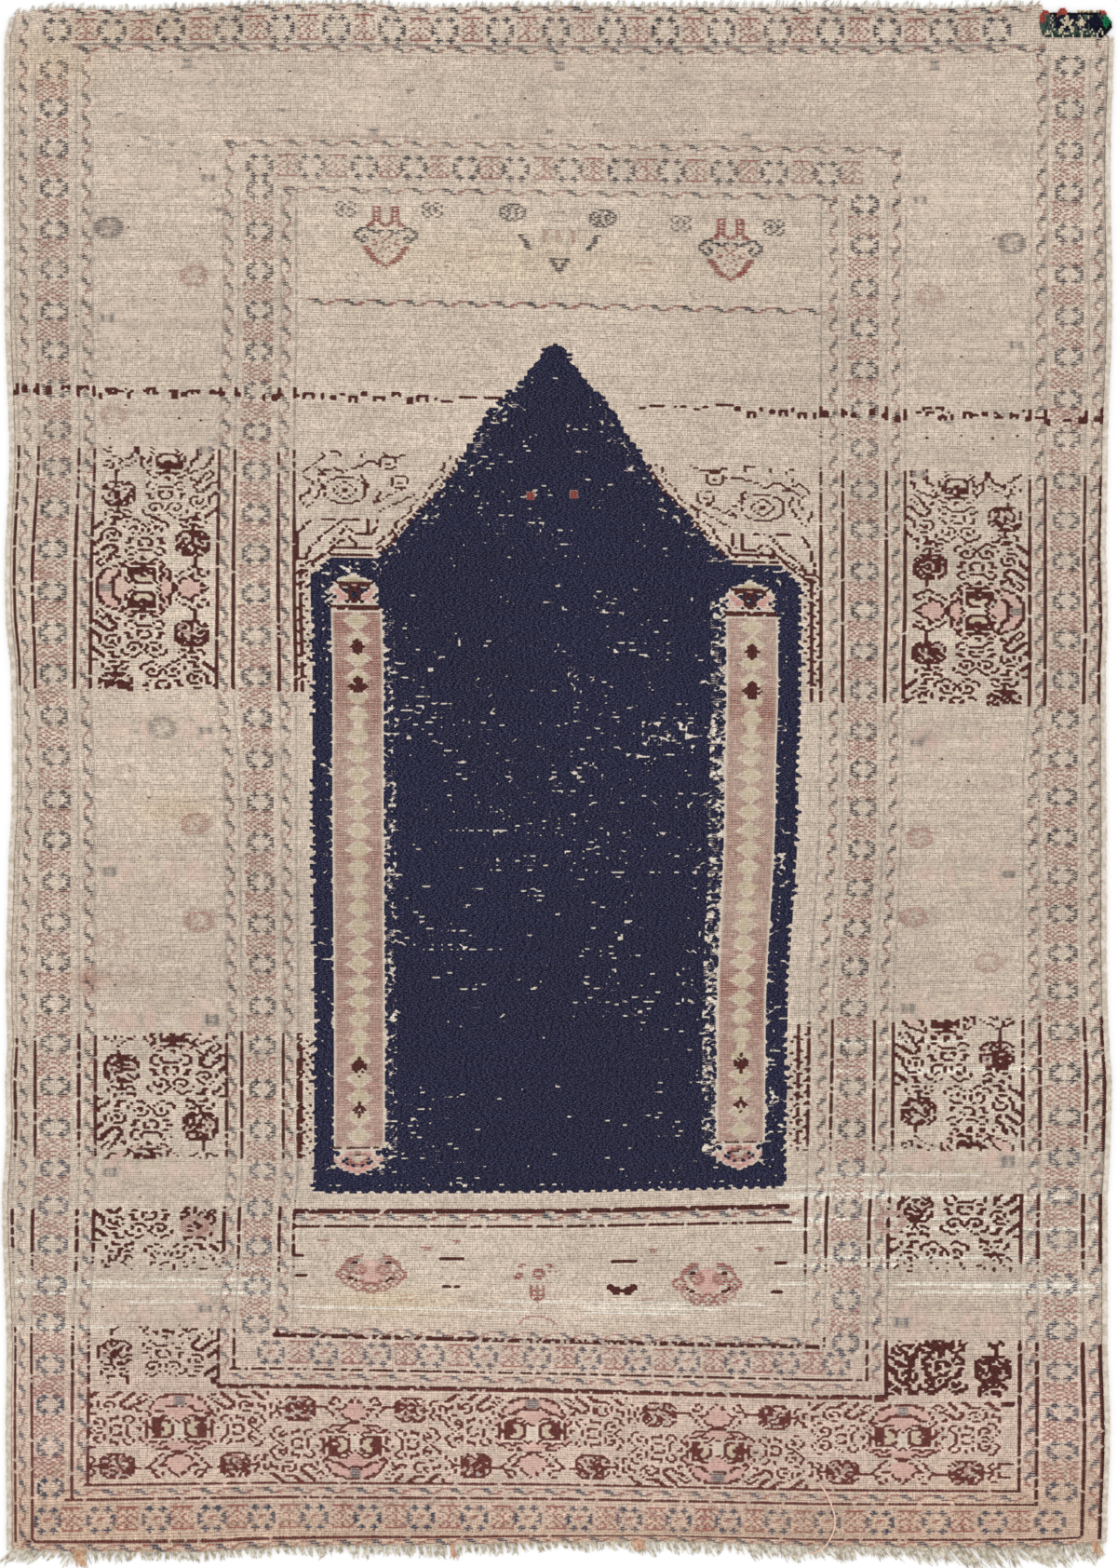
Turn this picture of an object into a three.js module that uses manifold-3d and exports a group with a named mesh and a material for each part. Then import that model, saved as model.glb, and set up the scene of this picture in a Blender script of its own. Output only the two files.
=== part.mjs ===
// A worn hand-knotted prayer rug, lying face up on its flat woven back.
// Sizes are millimetres. +X runs to the right across the rug, +Y up the rug
// towards the point of the niche, and +Z up from the floor.
import * as THREE from "three";
import { mergeVertices } from "three/addons/utils/BufferGeometryUtils.js";
import Module from "manifold-3d";

const wasm = await Module();
wasm.setup();

// Knotted cloth, measured from the centre line of the niche and from mid length
const CLOTH_LEFT = -587;
const CLOTH_RIGHT = 585;
const CLOTH_BOTTOM = -819;
const CLOTH_TOP = 834;
const CLOTH_HEIGHT = 3.2;
const COLUMNS = 28;
const ROWS = 40;
const RIM_WIDTH = 5;
const RIM_DROP = 1;
const RIPPLE = 0.22;
const GAP = 0.3;

// Full blue pile inside the niche stands higher than the worn ground round it
const NICHE = { left: -265, right: 262, bottom: -436, shoulder: 235, apex: 470 };
const NICHE_RISE = 0.9;
const NICHE_SLOPE = 36;

// Overcast selvedge cords along the two sides
const SELVEDGE_WIDTH = 6;
const SELVEDGE_HEIGHT = 3.8;

// Frayed warp ends: a narrow woven strip with the loose ends fused into it
const STRIP_WIDTH = 2.4;
const STRIP_HEIGHT = 1.8;
const STRAND_ROOT = 1.2;
const STRAND_HEIGHT = 1.5;
const STRAND_TIP = 0.4;
const FRINGE = {
  bottom: { strands: 184, width: 3.4, shortest: 0.75, spread: 0.5 },
  top: { strands: 96, width: 2.6, shortest: 0.5, spread: 0.9 },
};

// Scrap of another rug let into the lost top right corner
const NOTCH_LEFT = 517;
const NOTCH_BOTTOM = 802;
const PATCH_HEIGHT = 3.4;

// How far each side strays outwards, by the distance up the rug
const SIDE_STRAY = [
  { up: 0, left: 0, right: -2 },
  { up: 131, left: 1, right: 2 },
  { up: 211, left: 0, right: -1 },
  { up: 371, left: 5, right: -1 },
  { up: 451, left: 0, right: 3 },
  { up: 491, left: 2, right: 4 },
  { up: 531, left: -1, right: 1 },
  { up: 611, left: 1, right: -2 },
  { up: 731, left: -2, right: -2 },
  { up: 811, left: -6, right: -2 },
  { up: 931, left: -5, right: -3 },
  { up: 1011, left: 2, right: 0 },
  { up: 1051, left: 2, right: -3 },
  { up: 1171, left: -3, right: -1 },
  { up: 1331, left: 2, right: 4 },
  { up: 1491, left: 3, right: 2 },
  { up: 1611, left: 3, right: 6 },
  { up: 1653, left: -3, right: 6 },
];

// How far each end strays outwards, by the distance across the rug
const END_STRAY = [
  { across: 0, bottom: 3, top: -6 },
  { across: 45, bottom: 5, top: 0 },
  { across: 132, bottom: 6, top: -3 },
  { across: 200, bottom: 6, top: 1 },
  { across: 290, bottom: 1, top: 4 },
  { across: 390, bottom: -1, top: 5 },
  { across: 420, bottom: -1, top: 0 },
  { across: 590, bottom: -4, top: 2 },
  { across: 690, bottom: -6, top: 1 },
  { across: 790, bottom: -3, top: 0 },
  { across: 890, bottom: 0, top: 1 },
  { across: 990, bottom: 1, top: -1 },
  { across: 1104, bottom: 1, top: 3 },
  { across: 1172, bottom: -4, top: 3 },
];

// Length of the loose warp ends and how far they lean to the right,
// as a share of their length, by the distance across the rug
const BOTTOM_ENDS = [
  { across: 0, length: 8, lean: -0.6 },
  { across: 66, length: 8, lean: -0.5 },
  { across: 74, length: 14, lean: 0.3 },
  { across: 84, length: 8, lean: 0.2 },
  { across: 180, length: 6, lean: 0.2 },
  { across: 290, length: 6, lean: 0.1 },
  { across: 350, length: 9, lean: 0.1 },
  { across: 468, length: 9, lean: 0.2 },
  { across: 474, length: 16, lean: 0.1 },
  { across: 480, length: 10, lean: 0.2 },
  { across: 580, length: 5, lean: 0.3 },
  { across: 650, length: 6, lean: 0.3 },
  { across: 670, length: 13, lean: 0.5 },
  { across: 690, length: 8, lean: 0.3 },
  { across: 790, length: 11, lean: 0.4 },
  { across: 930, length: 9, lean: 0.5 },
  { across: 1030, length: 14, lean: 0.6 },
  { across: 1090, length: 12, lean: 0.6 },
  { across: 1172, length: 14, lean: 0.2 },
];
const TOP_ENDS = [
  { across: 0, length: 5, lean: 0.3 },
  { across: 400, length: 5, lean: 0.2 },
  { across: 700, length: 6, lean: 0.1 },
  { across: 900, length: 7, lean: 0.3 },
  { across: 1104, length: 5, lean: 0.5 },
];

const COLOURS = {
  cloth: 0xc0b19f,
  selvedge: 0xc3bbae,
  fringe: 0xcdc3b4,
  patch: 0x53605a,
};

// A value read from a table between two of its rows, with level ends to each stretch
function valueAt(table, key, place, column) {
  const last = table.length - 1;
  if (place <= table[0][key]) return table[0][column];
  if (place >= table[last][key]) return table[last][column];
  const row = table.findIndex((entry) => entry[key] > place);
  const before = table[row - 1];
  const after = table[row];
  const share = (place - before[key]) / (after[key] - before[key]);
  return THREE.MathUtils.lerp(before[column], after[column], share * share * (3 - 2 * share));
}

// Repeatable random numbers from 0 to 1
function randomFrom(seed) {
  let state = seed;
  return () => {
    state = (state * 1664525 + 1013904223) % 4294967296;
    return state / 4294967296;
  };
}

const fade = (distance, reach) => 1 - THREE.MathUtils.smoothstep(distance, 0, reach);

// Where a point of the straight rectangle lies on the real, wandering cloth
const SIDE_REACH = 60;
const END_REACH = 28;

function strayed(x, y) {
  const up = y - CLOTH_BOTTOM;
  const across = x - CLOTH_LEFT;
  const left = valueAt(SIDE_STRAY, "up", up, "left") * fade(x - CLOTH_LEFT, SIDE_REACH);
  const right = valueAt(SIDE_STRAY, "up", up, "right") * fade(CLOTH_RIGHT - x, SIDE_REACH);
  const bottom = valueAt(END_STRAY, "across", across, "bottom") * fade(y - CLOTH_BOTTOM, END_REACH);
  const top = valueAt(END_STRAY, "across", across, "top") * fade(CLOTH_TOP - y, END_REACH);
  return [x - left + right, y - bottom + top];
}

// How far a point lies inside the niche, which is a gable on two straight sides
function depthInNiche(x, y) {
  const middle = (NICHE.left + NICHE.right) / 2;
  const halfWidth = (NICHE.right - NICHE.left) / 2;
  const gable = (NICHE.apex - y) / (NICHE.apex - NICHE.shoulder);
  const reach = halfWidth * Math.min(1, Math.max(0, gable));
  return Math.min(reach - Math.abs(x - middle), y - NICHE.bottom);
}

// Height of the face: the niche's pile, shallow ripples and a worn rim
function faceHeight(x, y) {
  const niche = NICHE_RISE * THREE.MathUtils.smoothstep(depthInNiche(x, y), -NICHE_SLOPE, NICHE_SLOPE);
  const ripple = RIPPLE * (Math.sin(x / 71 + y / 167) + Math.sin(y / 59 - x / 193));
  const inset = Math.min(x - CLOTH_LEFT, CLOTH_RIGHT - x, y - CLOTH_BOTTOM, CLOTH_TOP - y);
  return CLOTH_HEIGHT + niche + ripple - RIM_DROP * fade(inset, RIM_WIDTH);
}

// Stations from one edge to the other, with a narrow rim at each end.
// One even station is moved so that a grid line runs along the notch.
function stations(from, to, count, notch) {
  const places = [from];
  for (let i = 0; i <= count; i += 1) {
    places.push(THREE.MathUtils.lerp(from + RIM_WIDTH, to - RIM_WIDTH, i / count));
  }
  places.push(to);
  const nearest = places.reduce((best, place, i) => {
    return Math.abs(place - notch) < Math.abs(places[best] - notch) ? i : best;
  }, 0);
  places[nearest] = notch;
  return places;
}

const ACROSS = stations(CLOTH_LEFT, CLOTH_RIGHT, COLUMNS, NOTCH_LEFT);
const ALONG = stations(CLOTH_BOTTOM, CLOTH_TOP, ROWS, NOTCH_BOTTOM);
const NOTCH_COLUMN = ACROSS.indexOf(NOTCH_LEFT);
const NOTCH_ROW = ALONG.indexOf(NOTCH_BOTTOM);

// A mesh geometry from a list of points and a list of triangles
function solidFrom(points, triangles) {
  const geometry = new THREE.BufferGeometry();
  geometry.setAttribute("position", new THREE.Float32BufferAttribute(points.flat(), 3));
  geometry.setIndex(triangles.flat());
  geometry.computeVertexNormals();
  return geometry;
}

// The grid places round the cloth's edge, anticlockwise, with the notch stepped in
function rimPlaces() {
  const lastColumn = ACROSS.length - 1;
  const lastRow = ALONG.length - 1;
  const rim = [];
  for (let i = 0; i < lastColumn; i += 1) rim.push([i, 0]);
  for (let j = 0; j < NOTCH_ROW; j += 1) rim.push([lastColumn, j]);
  for (let i = lastColumn; i > NOTCH_COLUMN; i -= 1) rim.push([i, NOTCH_ROW]);
  for (let j = NOTCH_ROW; j < lastRow; j += 1) rim.push([NOTCH_COLUMN, j]);
  for (let i = NOTCH_COLUMN; i > 0; i -= 1) rim.push([i, lastRow]);
  for (let j = lastRow; j > 0; j -= 1) rim.push([0, j]);
  return rim;
}

// The knotted cloth: an uneven face over a flat back, joined by a thin wall
function clothGeometry() {
  const points = [];
  const triangles = [];
  const index = new Map();
  ALONG.forEach((y, j) => {
    ACROSS.forEach((x, i) => {
      if (i > NOTCH_COLUMN && j > NOTCH_ROW) return;
      index.set(`${i},${j}`, points.length);
      points.push([...strayed(x, y), faceHeight(x, y)]);
    });
  });
  const at = (i, j) => index.get(`${i},${j}`);
  for (let j = 0; j < ALONG.length - 1; j += 1) {
    for (let i = 0; i < ACROSS.length - 1; i += 1) {
      if (i >= NOTCH_COLUMN && j >= NOTCH_ROW) continue;
      triangles.push([at(i, j), at(i + 1, j), at(i + 1, j + 1)]);
      triangles.push([at(i, j), at(i + 1, j + 1), at(i, j + 1)]);
    }
  }
  const rim = rimPlaces().map(([i, j]) => at(i, j));
  const back = points.length;
  rim.forEach((top) => points.push([points[top][0], points[top][1], 0]));
  rim.forEach((top, k) => {
    const next = (k + 1) % rim.length;
    triangles.push([top, back + k, back + next]);
    triangles.push([top, back + next, rim[next]]);
  });
  const outline = rim.map((top) => new THREE.Vector2(points[top][0], points[top][1]));
  THREE.ShapeUtils.triangulateShape(outline, []).forEach(([a, b, c]) => {
    triangles.push([back + a, back + c, back + b]);
  });
  return solidFrom(points, triangles);
}

// A bar swept along a line of places, from a section given as [out, up] pairs
// that go round it, with "out" square to the run on its outer side
function barGeometry(line, outward, section) {
  const points = [];
  const triangles = [];
  const sides = section.length;
  line.forEach(([x, y]) => {
    section.forEach(([out, up]) => {
      points.push([x + out * outward[0], y + out * outward[1], up]);
    });
  });
  for (let step = 0; step < line.length - 1; step += 1) {
    for (let side = 0; side < sides; side += 1) {
      const a = step * sides + side;
      const b = step * sides + ((side + 1) % sides);
      triangles.push([a, b, b + sides]);
      triangles.push([a, b + sides, a + sides]);
    }
  }
  const last = (line.length - 1) * sides;
  for (let side = 1; side < sides - 1; side += 1) {
    triangles.push([0, side + 1, side]);
    triangles.push([last, last + side, last + side + 1]);
  }
  return solidFrom(points, triangles);
}

// A selvedge cord: flat below, rounded above, running up one side of the cloth
function selvedgeGeometry(x, outward, lastRow) {
  const line = ALONG.slice(0, lastRow + 1).map((y) => strayed(x, y));
  const near = GAP;
  const far = GAP + SELVEDGE_WIDTH;
  const section = [
    [near, 0],
    [near, SELVEDGE_HEIGHT * 0.7],
    [near + SELVEDGE_WIDTH * 0.35, SELVEDGE_HEIGHT],
    [near + SELVEDGE_WIDTH * 0.75, SELVEDGE_HEIGHT * 0.85],
    [far, SELVEDGE_HEIGHT * 0.35],
    [far - SELVEDGE_WIDTH * 0.1, 0],
  ];
  const turned = outward > 0 ? section : [...section].reverse();
  return barGeometry(line, [outward, 0], turned);
}

// One loose lock of warp ends, three sided and tapered, lying level on the floor
function strandGeometry(root, outward, length, lean, width) {
  const start = [root[0], root[1] - outward * STRAND_ROOT];
  const tip = [root[0] + lean * length, root[1] + outward * length];
  const points = [];
  const ring = (place, scale) => {
    const half = (width * scale) / 2;
    points.push([place[0] - half, place[1], 0]);
    points.push([place[0] + half, place[1], 0]);
    points.push([place[0], place[1], STRAND_HEIGHT * scale]);
  };
  ring(start, 1);
  ring(tip, STRAND_TIP);
  const faces = [
    [0, 1, 2],
    [3, 5, 4],
    [0, 4, 1],
    [0, 3, 4],
    [1, 5, 2],
    [1, 4, 5],
    [2, 3, 0],
    [2, 5, 3],
  ];
  const wound = outward > 0 ? faces : faces.map(([a, b, c]) => [a, c, b]);
  return solidFrom(points, wound);
}

// The same geometry as a solid that can be joined
function toManifold(geometry) {
  const bare = new THREE.BufferGeometry();
  bare.setAttribute("position", geometry.getAttribute("position"));
  bare.setIndex(geometry.getIndex());
  const merged = mergeVertices(bare, 1e-4);
  return new wasm.Manifold(
    new wasm.Mesh({
      numProp: 3,
      vertProperties: merged.getAttribute("position").array,
      triVerts: new Uint32Array(merged.getIndex().array),
    }),
  );
}

function fromManifold(solid) {
  const mesh = solid.getMesh();
  const geometry = new THREE.BufferGeometry();
  geometry.setAttribute("position", new THREE.BufferAttribute(mesh.vertProperties, 3));
  geometry.setIndex(new THREE.BufferAttribute(mesh.triVerts, 1));
  geometry.computeVertexNormals();
  return geometry;
}

// The strip and loose warp ends of one end of the rug
function fringeGeometry(end, ends, seed) {
  const outward = end === "top" ? 1 : -1;
  const edge = end === "top" ? CLOTH_TOP : CLOTH_BOTTOM;
  const lastColumn = end === "top" ? NOTCH_COLUMN : ACROSS.length - 1;
  const line = ACROSS.slice(0, lastColumn + 1).map((x) => strayed(x, edge));
  const section = [
    [GAP, 0],
    [GAP + STRIP_WIDTH, 0],
    [GAP + STRIP_WIDTH, STRIP_HEIGHT * 0.8],
    [GAP, STRIP_HEIGHT],
  ];
  const turned = outward > 0 ? section : [...section].reverse();
  const strip = barGeometry(line, [0, outward], turned);
  const { strands, width, shortest, spread } = FRINGE[end];
  const random = randomFrom(seed);
  const first = line[0][0] + width;
  const last = line[line.length - 1][0] - width;
  const pitch = (last - first) / (strands - 1);
  const solids = [toManifold(strip)];
  for (let k = 0; k < strands; k += 1) {
    const x = first + pitch * k;
    const across = x - CLOTH_LEFT;
    const segment = line.findIndex((place) => place[0] > x);
    const [x0, y0] = line[segment - 1];
    const [x1, y1] = line[segment];
    const y = THREE.MathUtils.lerp(y0, y1, (x - x0) / (x1 - x0)) + outward * (GAP + STRIP_WIDTH);
    const length = valueAt(ends, "across", across, "length") * (shortest + spread * random());
    const lean = valueAt(ends, "across", across, "lean");
    solids.push(toManifold(strandGeometry([x, y], outward, length, lean, width)));
  }
  return fromManifold(wasm.Manifold.union(solids));
}

// The scrap: a rounded left end, one peak of old pile on its top edge, a cut right end
function patchGeometry() {
  const low = NOTCH_BOTTOM + GAP;
  const outline = new THREE.Shape();
  outline.moveTo(522, low);
  outline.quadraticCurveTo(518, low + 8, NOTCH_LEFT + 1.5, low + 15);
  outline.quadraticCurveTo(520, low + 25, 528, low + 25.5);
  outline.lineTo(535, low + 26);
  outline.lineTo(543.5, low + 35.5);
  outline.lineTo(551, low + 27);
  outline.lineTo(587, low + 27);
  outline.lineTo(593.5, low + 16);
  outline.lineTo(583.5, low);
  outline.closePath();
  return new THREE.ExtrudeGeometry(outline, {
    depth: PATCH_HEIGHT,
    bevelEnabled: false,
    curveSegments: 5,
  });
}

function piece(name, geometry, color) {
  const material = new THREE.MeshStandardMaterial({ color, roughness: ROUGHNESS, metalness: 0 });
  const mesh = new THREE.Mesh(geometry, material);
  mesh.name = name;
  return mesh;
}

const ROUGHNESS = 0.95;
const LEFT_END_ROW = ALONG.length - 2;

const rug = new THREE.Group();
rug.add(piece("rug_cloth", clothGeometry(), COLOURS.cloth));
rug.add(piece("selvedge_left", selvedgeGeometry(CLOTH_LEFT, -1, LEFT_END_ROW), COLOURS.selvedge));
rug.add(piece("selvedge_right", selvedgeGeometry(CLOTH_RIGHT, 1, NOTCH_ROW), COLOURS.selvedge));
rug.add(piece("fringe_bottom", fringeGeometry("bottom", BOTTOM_ENDS, 11), COLOURS.fringe));
rug.add(piece("fringe_top", fringeGeometry("top", TOP_ENDS, 23), COLOURS.fringe));
rug.add(piece("corner_patch", patchGeometry(), COLOURS.patch));

// The origin is under the middle of the whole rug, fringes included
const box = new THREE.Box3().setFromObject(rug);
const centre = box.getCenter(new THREE.Vector3());
rug.position.set(-centre.x, -centre.y, 0);

export default rug;
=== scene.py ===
import math

import bpy
import numpy as np
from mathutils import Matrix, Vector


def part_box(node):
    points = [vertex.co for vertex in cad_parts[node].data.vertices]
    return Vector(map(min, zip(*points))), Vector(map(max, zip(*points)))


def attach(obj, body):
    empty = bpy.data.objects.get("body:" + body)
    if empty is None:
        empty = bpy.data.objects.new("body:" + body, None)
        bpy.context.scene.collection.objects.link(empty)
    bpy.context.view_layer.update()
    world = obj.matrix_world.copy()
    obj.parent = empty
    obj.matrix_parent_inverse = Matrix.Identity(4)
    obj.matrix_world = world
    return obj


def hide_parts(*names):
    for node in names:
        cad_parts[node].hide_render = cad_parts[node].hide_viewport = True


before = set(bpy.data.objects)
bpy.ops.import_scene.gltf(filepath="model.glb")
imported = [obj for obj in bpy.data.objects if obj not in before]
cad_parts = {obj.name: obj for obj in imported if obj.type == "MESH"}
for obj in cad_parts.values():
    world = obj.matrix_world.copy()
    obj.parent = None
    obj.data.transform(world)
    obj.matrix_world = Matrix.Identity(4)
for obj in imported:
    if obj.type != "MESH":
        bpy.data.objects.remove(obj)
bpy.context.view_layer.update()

# A worn hand-knotted prayer rug, seen from straight above on a pale floor. Its design is tied
# knot by knot on a grid and worn by bands. It is then raised as pile on a flat woven ground,
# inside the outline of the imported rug.
MM = 0.001

# The camera looks straight down at the middle of the photographed area
VIEW_TALL = 1684 * MM
VIEW_MIDDLE = (600.0, 842.0)
LENS = 100.0
SENSOR = 36.0
camera_data = bpy.data.cameras.new("camera")
camera_data.lens = LENS
camera_data.sensor_fit = "VERTICAL"
camera_data.sensor_height = SENSOR
camera_data.clip_end = 50.0
camera = bpy.data.objects.new("camera", camera_data)
bpy.context.scene.collection.objects.link(camera)
bpy.context.scene.camera = camera

# The layout's origin is the left top corner of the photographed area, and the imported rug's
# is its own middle. The scrap's two far edges lie at known places of the layout.
PATCH_RIGHT = 1193.5
PATCH_FOOT = 39.7
patch_low, patch_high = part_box("corner_patch")
SHIFT_X = patch_high.x - PATCH_RIGHT * MM
SHIFT_Y = patch_low.y + PATCH_FOOT * MM


def place_x(x):
    return x * MM + SHIFT_X


def place_y(y):
    return -y * MM + SHIFT_Y


FACE_HEIGHT = 3.2 * MM
camera.location = (
    place_x(VIEW_MIDDLE[0]),
    place_y(VIEW_MIDDLE[1]),
    FACE_HEIGHT + VIEW_TALL * LENS / SENSOR,
)

# Knot grid of the pile, with its left top corner at a place of the layout, in millimetres.
# Each knot is one cell with a yarn and how much of its dye is left.
COLUMNS = 350
ROWS = 661
DESIGN_LEFT = 13.0
DESIGN_TOP = 8.0
KNOT_WIDE = 1172.0 / COLUMNS
KNOT_TALL = 1653.0 / ROWS

IVORY, NAVY, BROWN, BLUE, RED, PINK, LILAC, TAN, GREY, CREAM = range(10)
yarn = np.zeros((ROWS, COLUMNS), np.int8)
show = np.zeros((ROWS, COLUMNS))

LAY_X = DESIGN_LEFT + KNOT_WIDE * (np.arange(COLUMNS) + 0.5)
LAY_Y = DESIGN_TOP + KNOT_TALL * (np.arange(ROWS) + 0.5)
GRID_X, GRID_Y = np.meshgrid(LAY_X, LAY_Y)


def column_at(x):
    return int(np.clip(round((x - DESIGN_LEFT) / KNOT_WIDE - 0.5), 0, COLUMNS - 1))


def row_at(y):
    return int(np.clip(round((y - DESIGN_TOP) / KNOT_TALL - 0.5), 0, ROWS - 1))


def zone(left, right, top, bottom):
    """The knots inside a rectangle of the layout."""
    return (GRID_X > left) & (GRID_X < right) & (GRID_Y > top) & (GRID_Y < bottom)


def soft_noise(seed, across, along):
    """A soft field from -1 to 1 over the knots, with blobs of that size in knots."""
    source = np.random.default_rng(seed)
    nodes = source.uniform(-1, 1, (int(ROWS / along) + 3, int(COLUMNS / across) + 3))
    y = np.arange(ROWS) / along
    x = np.arange(COLUMNS) / across
    row = y.astype(int)
    column = x.astype(int)
    down = (y - row)[:, None]
    over = (x - column)[None, :]
    down = down * down * (3 - 2 * down)
    over = over * over * (3 - 2 * over)
    upper = nodes[np.ix_(row, column)] * (1 - over) + nodes[np.ix_(row, column + 1)] * over
    lower = nodes[np.ix_(row + 1, column)] * (1 - over) + nodes[np.ix_(row + 1, column + 1)] * over
    return upper * (1 - down) + lower * down


def luck(seed):
    """One random number from 0 to 1 for each knot."""
    return np.random.default_rng(seed).random((ROWS, COLUMNS))


# Charts of small traditional figures. Each letter is a yarn and a dot is left alone.
MIXED = 10
LETTERS = {"x": MIXED, "#": BROWN, "b": BLUE, "r": RED, "p": PINK, "i": CREAM, "g": GREY, "t": TAN}


def chart(text):
    lines = text.split()
    return np.array([[LETTERS.get(letter, -1) for letter in line] for line in lines])


def knot(row, column, kind, strength):
    if 0 <= row < ROWS and 0 <= column < COLUMNS:
        yarn[row, column] = kind
        show[row, column] = strength


def stamp(figure, x, y, strength=1.0, mirrored=False):
    """Ties a charted figure with its middle at that place."""
    if mirrored:
        figure = figure[:, ::-1]
    tall, wide = figure.shape
    top = row_at(y) - tall // 2
    left = column_at(x) - wide // 2
    for (down, over), kind in np.ndenumerate(figure):
        if kind >= 0:
            knot(top + down, left + over, kind, strength)


def stroke(points, kind=BROWN, strength=1.0, wide=1):
    """A stepped line of knots through places in the layout."""
    places = [(column_at(x), row_at(y)) for x, y in points]
    for (c0, r0), (c1, r1) in zip(places, places[1:]):
        steps = max(abs(c1 - c0), abs(r1 - r0), 1)
        for k in range(steps + 1):
            column = round(c0 + (c1 - c0) * k / steps)
            row = round(r0 + (r1 - r0) * k / steps)
            for extra in range(wide):
                knot(row, column + extra, kind, strength)


def dash(x, y, left, right, kind, strength):
    """A level run of knots from left of a place to right of it."""
    stroke([(x - left, y), (x + right, y)], kind, strength)


def arc(x, y, wide, tall, start, stop, kind, strength, thick=1):
    """Part of an oval of knots, from one angle to another in degrees, clockwise from right."""
    steps = int(max(wide, tall)) + 2
    for k in range(steps + 1):
        turn = np.radians(start + (stop - start) * k / steps)
        place = (x + wide * np.cos(turn), y + tall * np.sin(turn))
        for extra in range(thick):
            knot(row_at(place[1]) + extra, column_at(place[0]), kind, strength)


# The outer stripes, as the places of the brown lines between them
UPRIGHT_LINES = (
    # across, from, to
    (17, 60, 1652),
    (41, 60, 1652),
    (85, 60, 1612),
    (103, 150, 1598),
    (236, 211, 1491),
    (252, 211, 1474),
    (299, 211, 1438),
    (316, 211, 1428),
    (883, 211, 1428),
    (905, 211, 1438),
    (951, 211, 1474),
    (973, 211, 1491),
    (1105, 150, 1598),
    (1124, 60, 1612),
    (1166, 60, 1652),
    (1184, 60, 1655),
)
LEVEL_LINES = (
    # down, from, to, rows
    (1300, 318, 862, 2),
    (1317, 316, 866, 1),
    (1438, 296, 900, 2),
    (1474, 250, 951, 1),
    (1491, 236, 973, 2),
    (1597, 98, 1105, 1),
    (1612, 78, 1124, 1),
    (1651, 36, 1166, 1),
)
STAR = chart("""
..b...b..
.bbb.bbb.
b.b...b.b
bb.....bb
b.......b
bb.....bb
b.b...b.b
.bbb.bbb.
..b...b..
""")
STAR_LEVEL = chart("""
..b...b..
.bbb.bbb.
..b...b..
b.......b
bb.....bb
b.......b
bb.....bb
b.......b
..b...b..
.bbb.bbb.
..b...b..
""")
STAR_HEART = chart("""
.rr
rr.
""")
BLOCK = chart("""
rr.r..r.rr
r.r.rr.r.r
.r.r..r.r.
r.r.rr.r.r
.r.r..r.r.
r.r.rr.r.r
.r.r..r.r.
r.r.rr.r.r
rr.r..r.rr
""")
BLOCK_LEVEL = chart("""
rrrrrrr
.r.r.r.
r..r..r
..r.r..
.r.r.r.
r..r..r
..r.r..
.r.r.r.
r..r..r
rrrrrrr
""")
GUARD_LEVEL = chart("""
rrbb.....r
..bbb..rr.
....bbrr..
""")
GUARD_UPRIGHT = GUARD_LEVEL.T

STARS = (STAR, BLOCK)
LEVEL_STARS = (STAR_LEVEL, BLOCK_LEVEL)
STAR_ROWS = (
    # figures, across, down, how far, pitch, strength, whether they run down the rug
    (STARS, 63, 74, 1612, 21.8, 1.1, True),
    (STARS, 1145, 70, 1612, 21.8, 1.1, True),
    (STARS, 276, 207, 1440, 21.8, 1.1, True),
    (STARS, 928, 214, 1440, 21.8, 1.1, True),
    (LEVEL_STARS, 64, 31, 1100, 29.6, 1.1, False),
    (LEVEL_STARS, 277, 182, 935, 27.8, 1.1, False),
    (LEVEL_STARS, 57, 1632, 1155, 28.4, 1.1, False),
    ((STAR_HEART,), 57, 1632, 1155, 56.8, 0.9, False),
    (LEVEL_STARS, 294, 1457, 935, 28.4, 1.1, False),
    ((STAR_HEART,), 294, 1457, 935, 56.8, 0.9, False),
)
UPRIGHT_GUARDS = (
    # across, from, to
    (29, 24, 1652),
    (94, 60, 1597),
    (1115, 60, 1597),
    (1175, 45, 1645),
    (244, 165, 1482),
    (307, 215, 1430),
    (894, 218, 1430),
    (962, 168, 1482),
)
LEVEL_GUARDS = (
    # down, from, to
    (12, 60, 1100),
    (51, 100, 1110),
    (158, 252, 960),
    (206, 320, 890),
    (328, 345, 880),
    (1308, 328, 870),
    (1431, 312, 880),
    (1482, 262, 955),
    (1604, 96, 1115),
    (1657, 46, 1165),
)
UPRIGHT_GUARD_PITCH = 25.0
LEVEL_GUARD_PITCH = 33.4
GUARD_STRENGTH = 0.85
SEAM_X = 600

STAR_STRIPES = (
    # left, right, top, bottom
    (43, 84, 50, 1612),
    (1126, 1165, 50, 1612),
    (254, 298, 165, 1438),
    (907, 950, 168, 1438),
    (43, 1165, 14, 48),
    (254, 950, 168, 198),
    (43, 1165, 1614, 1648),
    (254, 950, 1441, 1472),
)
STRIPE_DUST = 0.16


def repeat(figures, x, y, stop, pitch, strength, upright, mirrored=False):
    """Figures by turns from a place, down or across the rug as far as the stop."""
    turn = 0
    while (y if upright else x) < stop:
        stamp(figures[turn % len(figures)], x, y, strength, mirrored)
        if upright:
            y += pitch
        else:
            x += pitch
        turn += 1


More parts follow.
